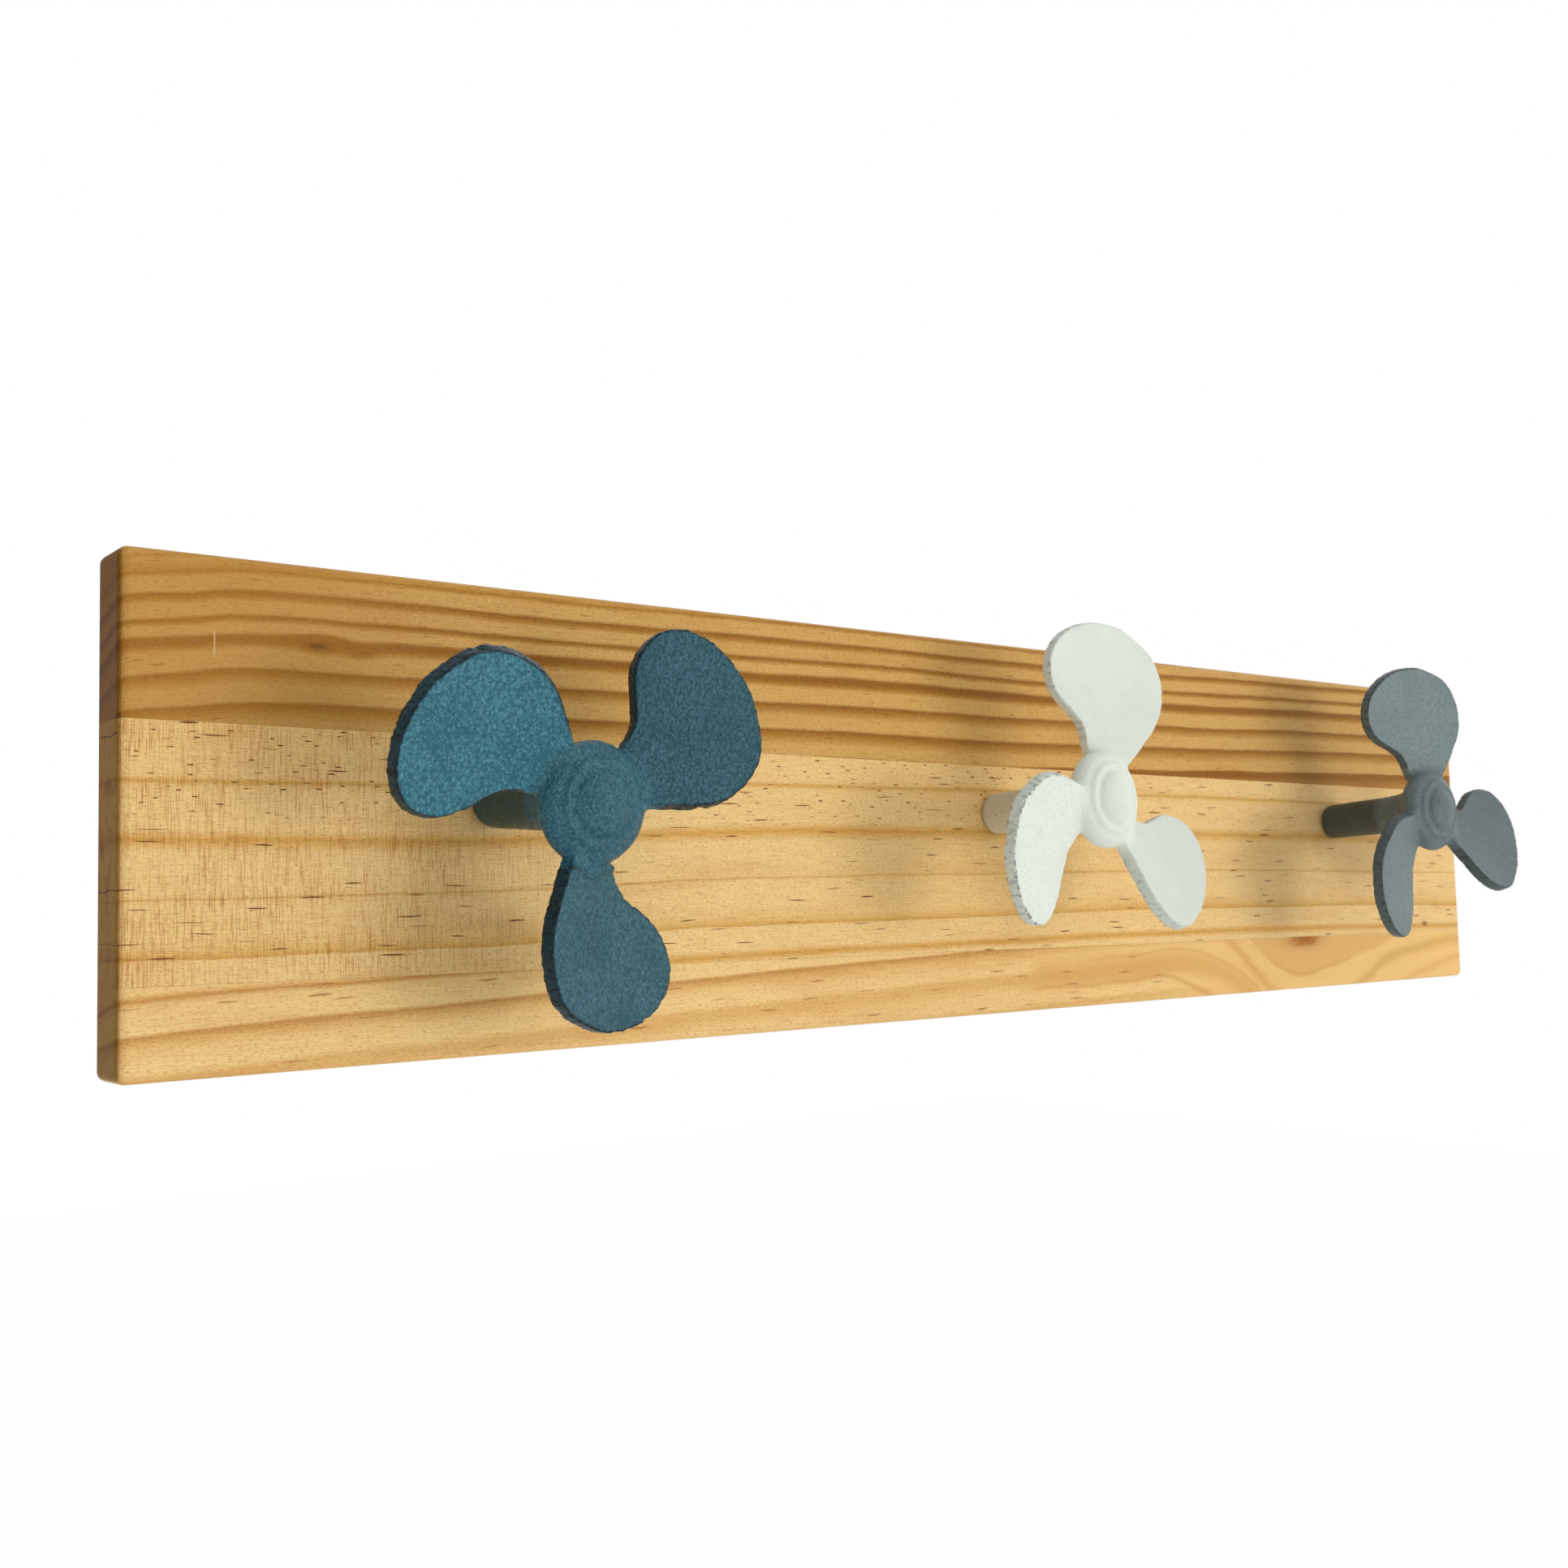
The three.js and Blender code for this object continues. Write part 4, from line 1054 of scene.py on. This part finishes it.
def hanger(name, x):
    ob = prism(name, [(x + a, b) for a, b in rounded(-PLATE_W / 2, -PLATE_H / 2, PLATE_W / 2, PLATE_H / 2, PLATE_CORNER)],
               PLATE_OUT, PLATE_IN)
    boolean(ob, prism("key", [(x + a, b) for a, b in keyhole()], 2, -4), "DIFFERENCE", "EXACT")
    for s in (-1, 1):
        cone = [(0, -1), (4.5, -1), (3.2, 0.2), (1.65, 1.75), (1.65, 4), (0, 4)]
        boolean(ob, turned("sink", cone, 40, (x + s * PLATE_SCREW_X, 0, 0)), "DIFFERENCE", "EXACT")
    soften(ob, 0.16, 2, 35)
    return shade(ob, 40, weighted=True)


for side, sx in (("left", -1), ("right", 1)):
    at = centre(f"{side}_keyhole_hanger")
    finish_piece(hanger(f"{side}_keyhole_plate", at.x), "rack", [f"{side}_keyhole_hanger"], brass.mat, "brassed_steel")
    for where in ("outer", "inner"):
        node = f"{side}_hanger_screw_{where}"
        finish_piece(wood_screw(f"{side}_wood_screw_{where}", centre(node)), "rack", [node], brass.mat, "brassed_steel")


# ------------------------------------------------------------------ board

def blank():
    """The whole board, its edges eased, cut for the screws and the hanger plates."""
    x, z0 = BOARD_LENGTH / 2, BOARD_TOP - BOARD_HEIGHT
    v = [(sx * x, y, z) for y in (0, -BOARD_THICKNESS) for sx, z in ((-1, z0), (1, z0), (1, BOARD_TOP), (-1, BOARD_TOP))]
    f = [[0, 1, 2, 3], [4, 5, 6, 7]] + [[i, (i + 1) % 4, 4 + (i + 1) % 4, 4 + i] for i in range(4)]
    ob = add_mesh("blank", v, f)
    soften(ob, EDGE_ROUND, 8, 30)
    for name in HOOKS:
        at = centre(f"{name}_hook_screw")
        o = (at.x, 0, at.z)
        boolean(ob, turned("c", [(0, -5), (CLEARANCE_HOLE_R, -5), (CLEARANCE_HOLE_R, 23), (0, 23)], 48, o),
                "DIFFERENCE", "EXACT")
        boolean(ob, turned("c", [(0, -5), (COUNTERBORE_R, -5), (COUNTERBORE_R, 8), (0, 8)], 72, o), "DIFFERENCE", "EXACT")
    for sx in (-1, 1):
        x = sx * HANGER_X
        c = 0.3
        w, h = PLATE_W / 2 + c, PLATE_H / 2 + c
        boolean(ob, prism("c", [(x + a, b) for a, b in rounded(-w, -h, w, h, PLATE_CORNER + c)], 5, -1.9),
                "DIFFERENCE", "EXACT")
        boolean(ob, prism("c", [(x + a, b) for a, b in rounded(-6.3, -7.6, 6.3, 7.6, 5.5)], 1, -9), "DIFFERENCE", "EXACT")
        for s in (-1, 1):
            boolean(ob, turned("c", [(0, -1), (1.65, -1), (1.65, 14), (0, 14)], 24, (x + s * PLATE_SCREW_X, 0, 0)),
                    "DIFFERENCE", "EXACT")
    return ob


board = blank()
TOP, BOTTOM = (BOARD_TOP + 10, 0.0), (BOARD_TOP - BOARD_HEIGHT - 10, 0.0)
for node, low, high, material, slot in (
    ("board_upper_stave", UPPER_GLUE, TOP, pine_banded, "pine_banded"),
    ("board_middle_stave", LOWER_GLUE, UPPER_GLUE, pine_pale, "pine_pale"),
    ("board_lower_stave", BOTTOM, LOWER_GLUE, pine_flame, "pine_flame"),
):
    ob = bpy.data.objects.new(node.replace("board_", "") + "_pine", board.data.copy())
    scene.collection.objects.link(ob)
    R = 400.0
    strip = [(-R, low[0] - low[1] * R + GLUE / 2), (R, low[0] + low[1] * R + GLUE / 2),
             (R, high[0] + high[1] * R - GLUE / 2), (-R, high[0] - high[1] * R - GLUE / 2)]
    boolean(ob, prism("strip", strip, 30, -40), "INTERSECT", "EXACT")
    shade(ob, 35, weighted=True)
    finish_piece(ob, "rack", [node], material.mat, slot)
drop(board)


# ------------------------------------------------------------------ floor, light, camera

def floor():
    size, n = 6000.0, 12
    verts = [((i / n - 0.5) * size, (j / n - 0.5) * size, -620.0) for j in range(n + 1) for i in range(n + 1)]
    faces = [[j * (n + 1) + i, j * (n + 1) + i + 1, (j + 1) * (n + 1) + i + 1, (j + 1) * (n + 1) + i]
             for j in range(n) for i in range(n)]
    me = bpy.data.meshes.new("studio_floor")
    me.from_pydata((np.asarray(verts) * MM).tolist(), [], faces)
    ob = bpy.data.objects.new("studio_floor", me)
    scene.collection.objects.link(ob)
    g = Graph("studio_floor")
    g.set(Base_Color=srgb(252, 252, 252), Roughness=0.9)
    lp = g.nt.nodes.new("ShaderNodeLightPath")
    em = g.nt.nodes.new("ShaderNodeEmission")
    em.inputs[0].default_value = (1, 1, 1, 1)
    em.inputs[1].default_value = 1.0
    mixer = g.nt.nodes.new("ShaderNodeMixShader")
    out = next(n for n in g.nt.nodes if n.type == "OUTPUT_MATERIAL")
    g.put(mixer.inputs[0], g.mul(lp.outputs["Is Camera Ray"], 0.975))
    g.put(mixer.inputs[1], g.bsdf.outputs[0])
    g.put(mixer.inputs[2], em.outputs[0])
    g.put(out.inputs[0], mixer.outputs[0])
    me.materials.append(g.mat)


floor()

world = bpy.data.worlds.new("studio")
scene.world = world
world.use_nodes = True
nt = world.node_tree
nt.nodes.clear()
wo = nt.nodes.new("ShaderNodeOutputWorld")
lp = nt.nodes.new("ShaderNodeLightPath")
soft = nt.nodes.new("ShaderNodeBackground")
soft.inputs[0].default_value = (1.0, 1.0, 1.0, 1)
# the studio is a little darker to the left
tc = nt.nodes.new("ShaderNodeTexCoord")
sep = nt.nodes.new("ShaderNodeSeparateXYZ")
level = nt.nodes.new("ShaderNodeMapRange")
for i, value in ((1, -1.0), (2, 1.0), (3, 0.30), (4, 1.16)):
    level.inputs[i].default_value = value
nt.links.new(tc.outputs["Generated"], sep.inputs[0])
nt.links.new(sep.outputs[0], level.inputs[0])
nt.links.new(level.outputs[0], soft.inputs[1])
white = nt.nodes.new("ShaderNodeBackground")
white.inputs[0].default_value = (1, 1, 1, 1)
white.inputs[1].default_value = 1.0
mx = nt.nodes.new("ShaderNodeMixShader")
nt.links.new(lp.outputs["Is Camera Ray"], mx.inputs[0])
nt.links.new(soft.outputs[0], mx.inputs[1])
nt.links.new(white.outputs[0], mx.inputs[2])
nt.links.new(mx.outputs[0], wo.inputs[0])


def area(name, position, target, size, power, colour=(1, 1, 1)):
    light = bpy.data.lights.new(name, "AREA")
    light.shape, light.size, light.size_y = "RECTANGLE", size[0], size[1]
    light.energy, light.color = power, colour
    ob = bpy.data.objects.new(name, light)
    scene.collection.objects.link(ob)
    ob.location = position
    ob.rotation_mode = "QUATERNION"
    ob.rotation_quaternion = (Vector(target) - Vector(position)).to_track_quat("-Z", "Y")
    return ob


area("key", (1.05, -3.0, -0.45), (0.0, -0.02, -0.05), (1.3, 1.3), 33.0, (1.0, 0.99, 0.97))
area("side", (1.3, -1.1, -0.75), (0.0, -0.02, -0.05), (0.3, 0.3), 5.5)
area("low", (0.0, -1.7, -1.2), (0.0, -0.02, -0.08), (1.2, 0.7), 17.0)

focus = bpy.data.objects.new("focus", None)
scene.collection.objects.link(focus)
focus.location = (-0.2, -0.06, -0.04)

camera = bpy.data.cameras.new("camera")
camera.dof.use_dof = True
camera.dof.focus_object = focus
camera.dof.aperture_fstop = 50.0
camera.lens, camera.sensor_width, camera.sensor_fit = 38.083, 36.0, "AUTO"
camera.clip_start, camera.clip_end = 0.01, 50.0
cam = bpy.data.objects.new("camera", camera)
scene.collection.objects.link(cam)
cam.matrix_world = Matrix((
    (0.7826339, -0.02794765, -0.62185457, -0.42187),
    (-0.62197022, -0.07562078, -0.77938087, -0.42542),
    (-0.02524326, 0.99674492, -0.07656599, -0.07276),
    (0, 0, 0, 1),
))
scene.camera = cam
scene.view_settings.view_transform = "Standard"
scene.view_settings.look = "None"
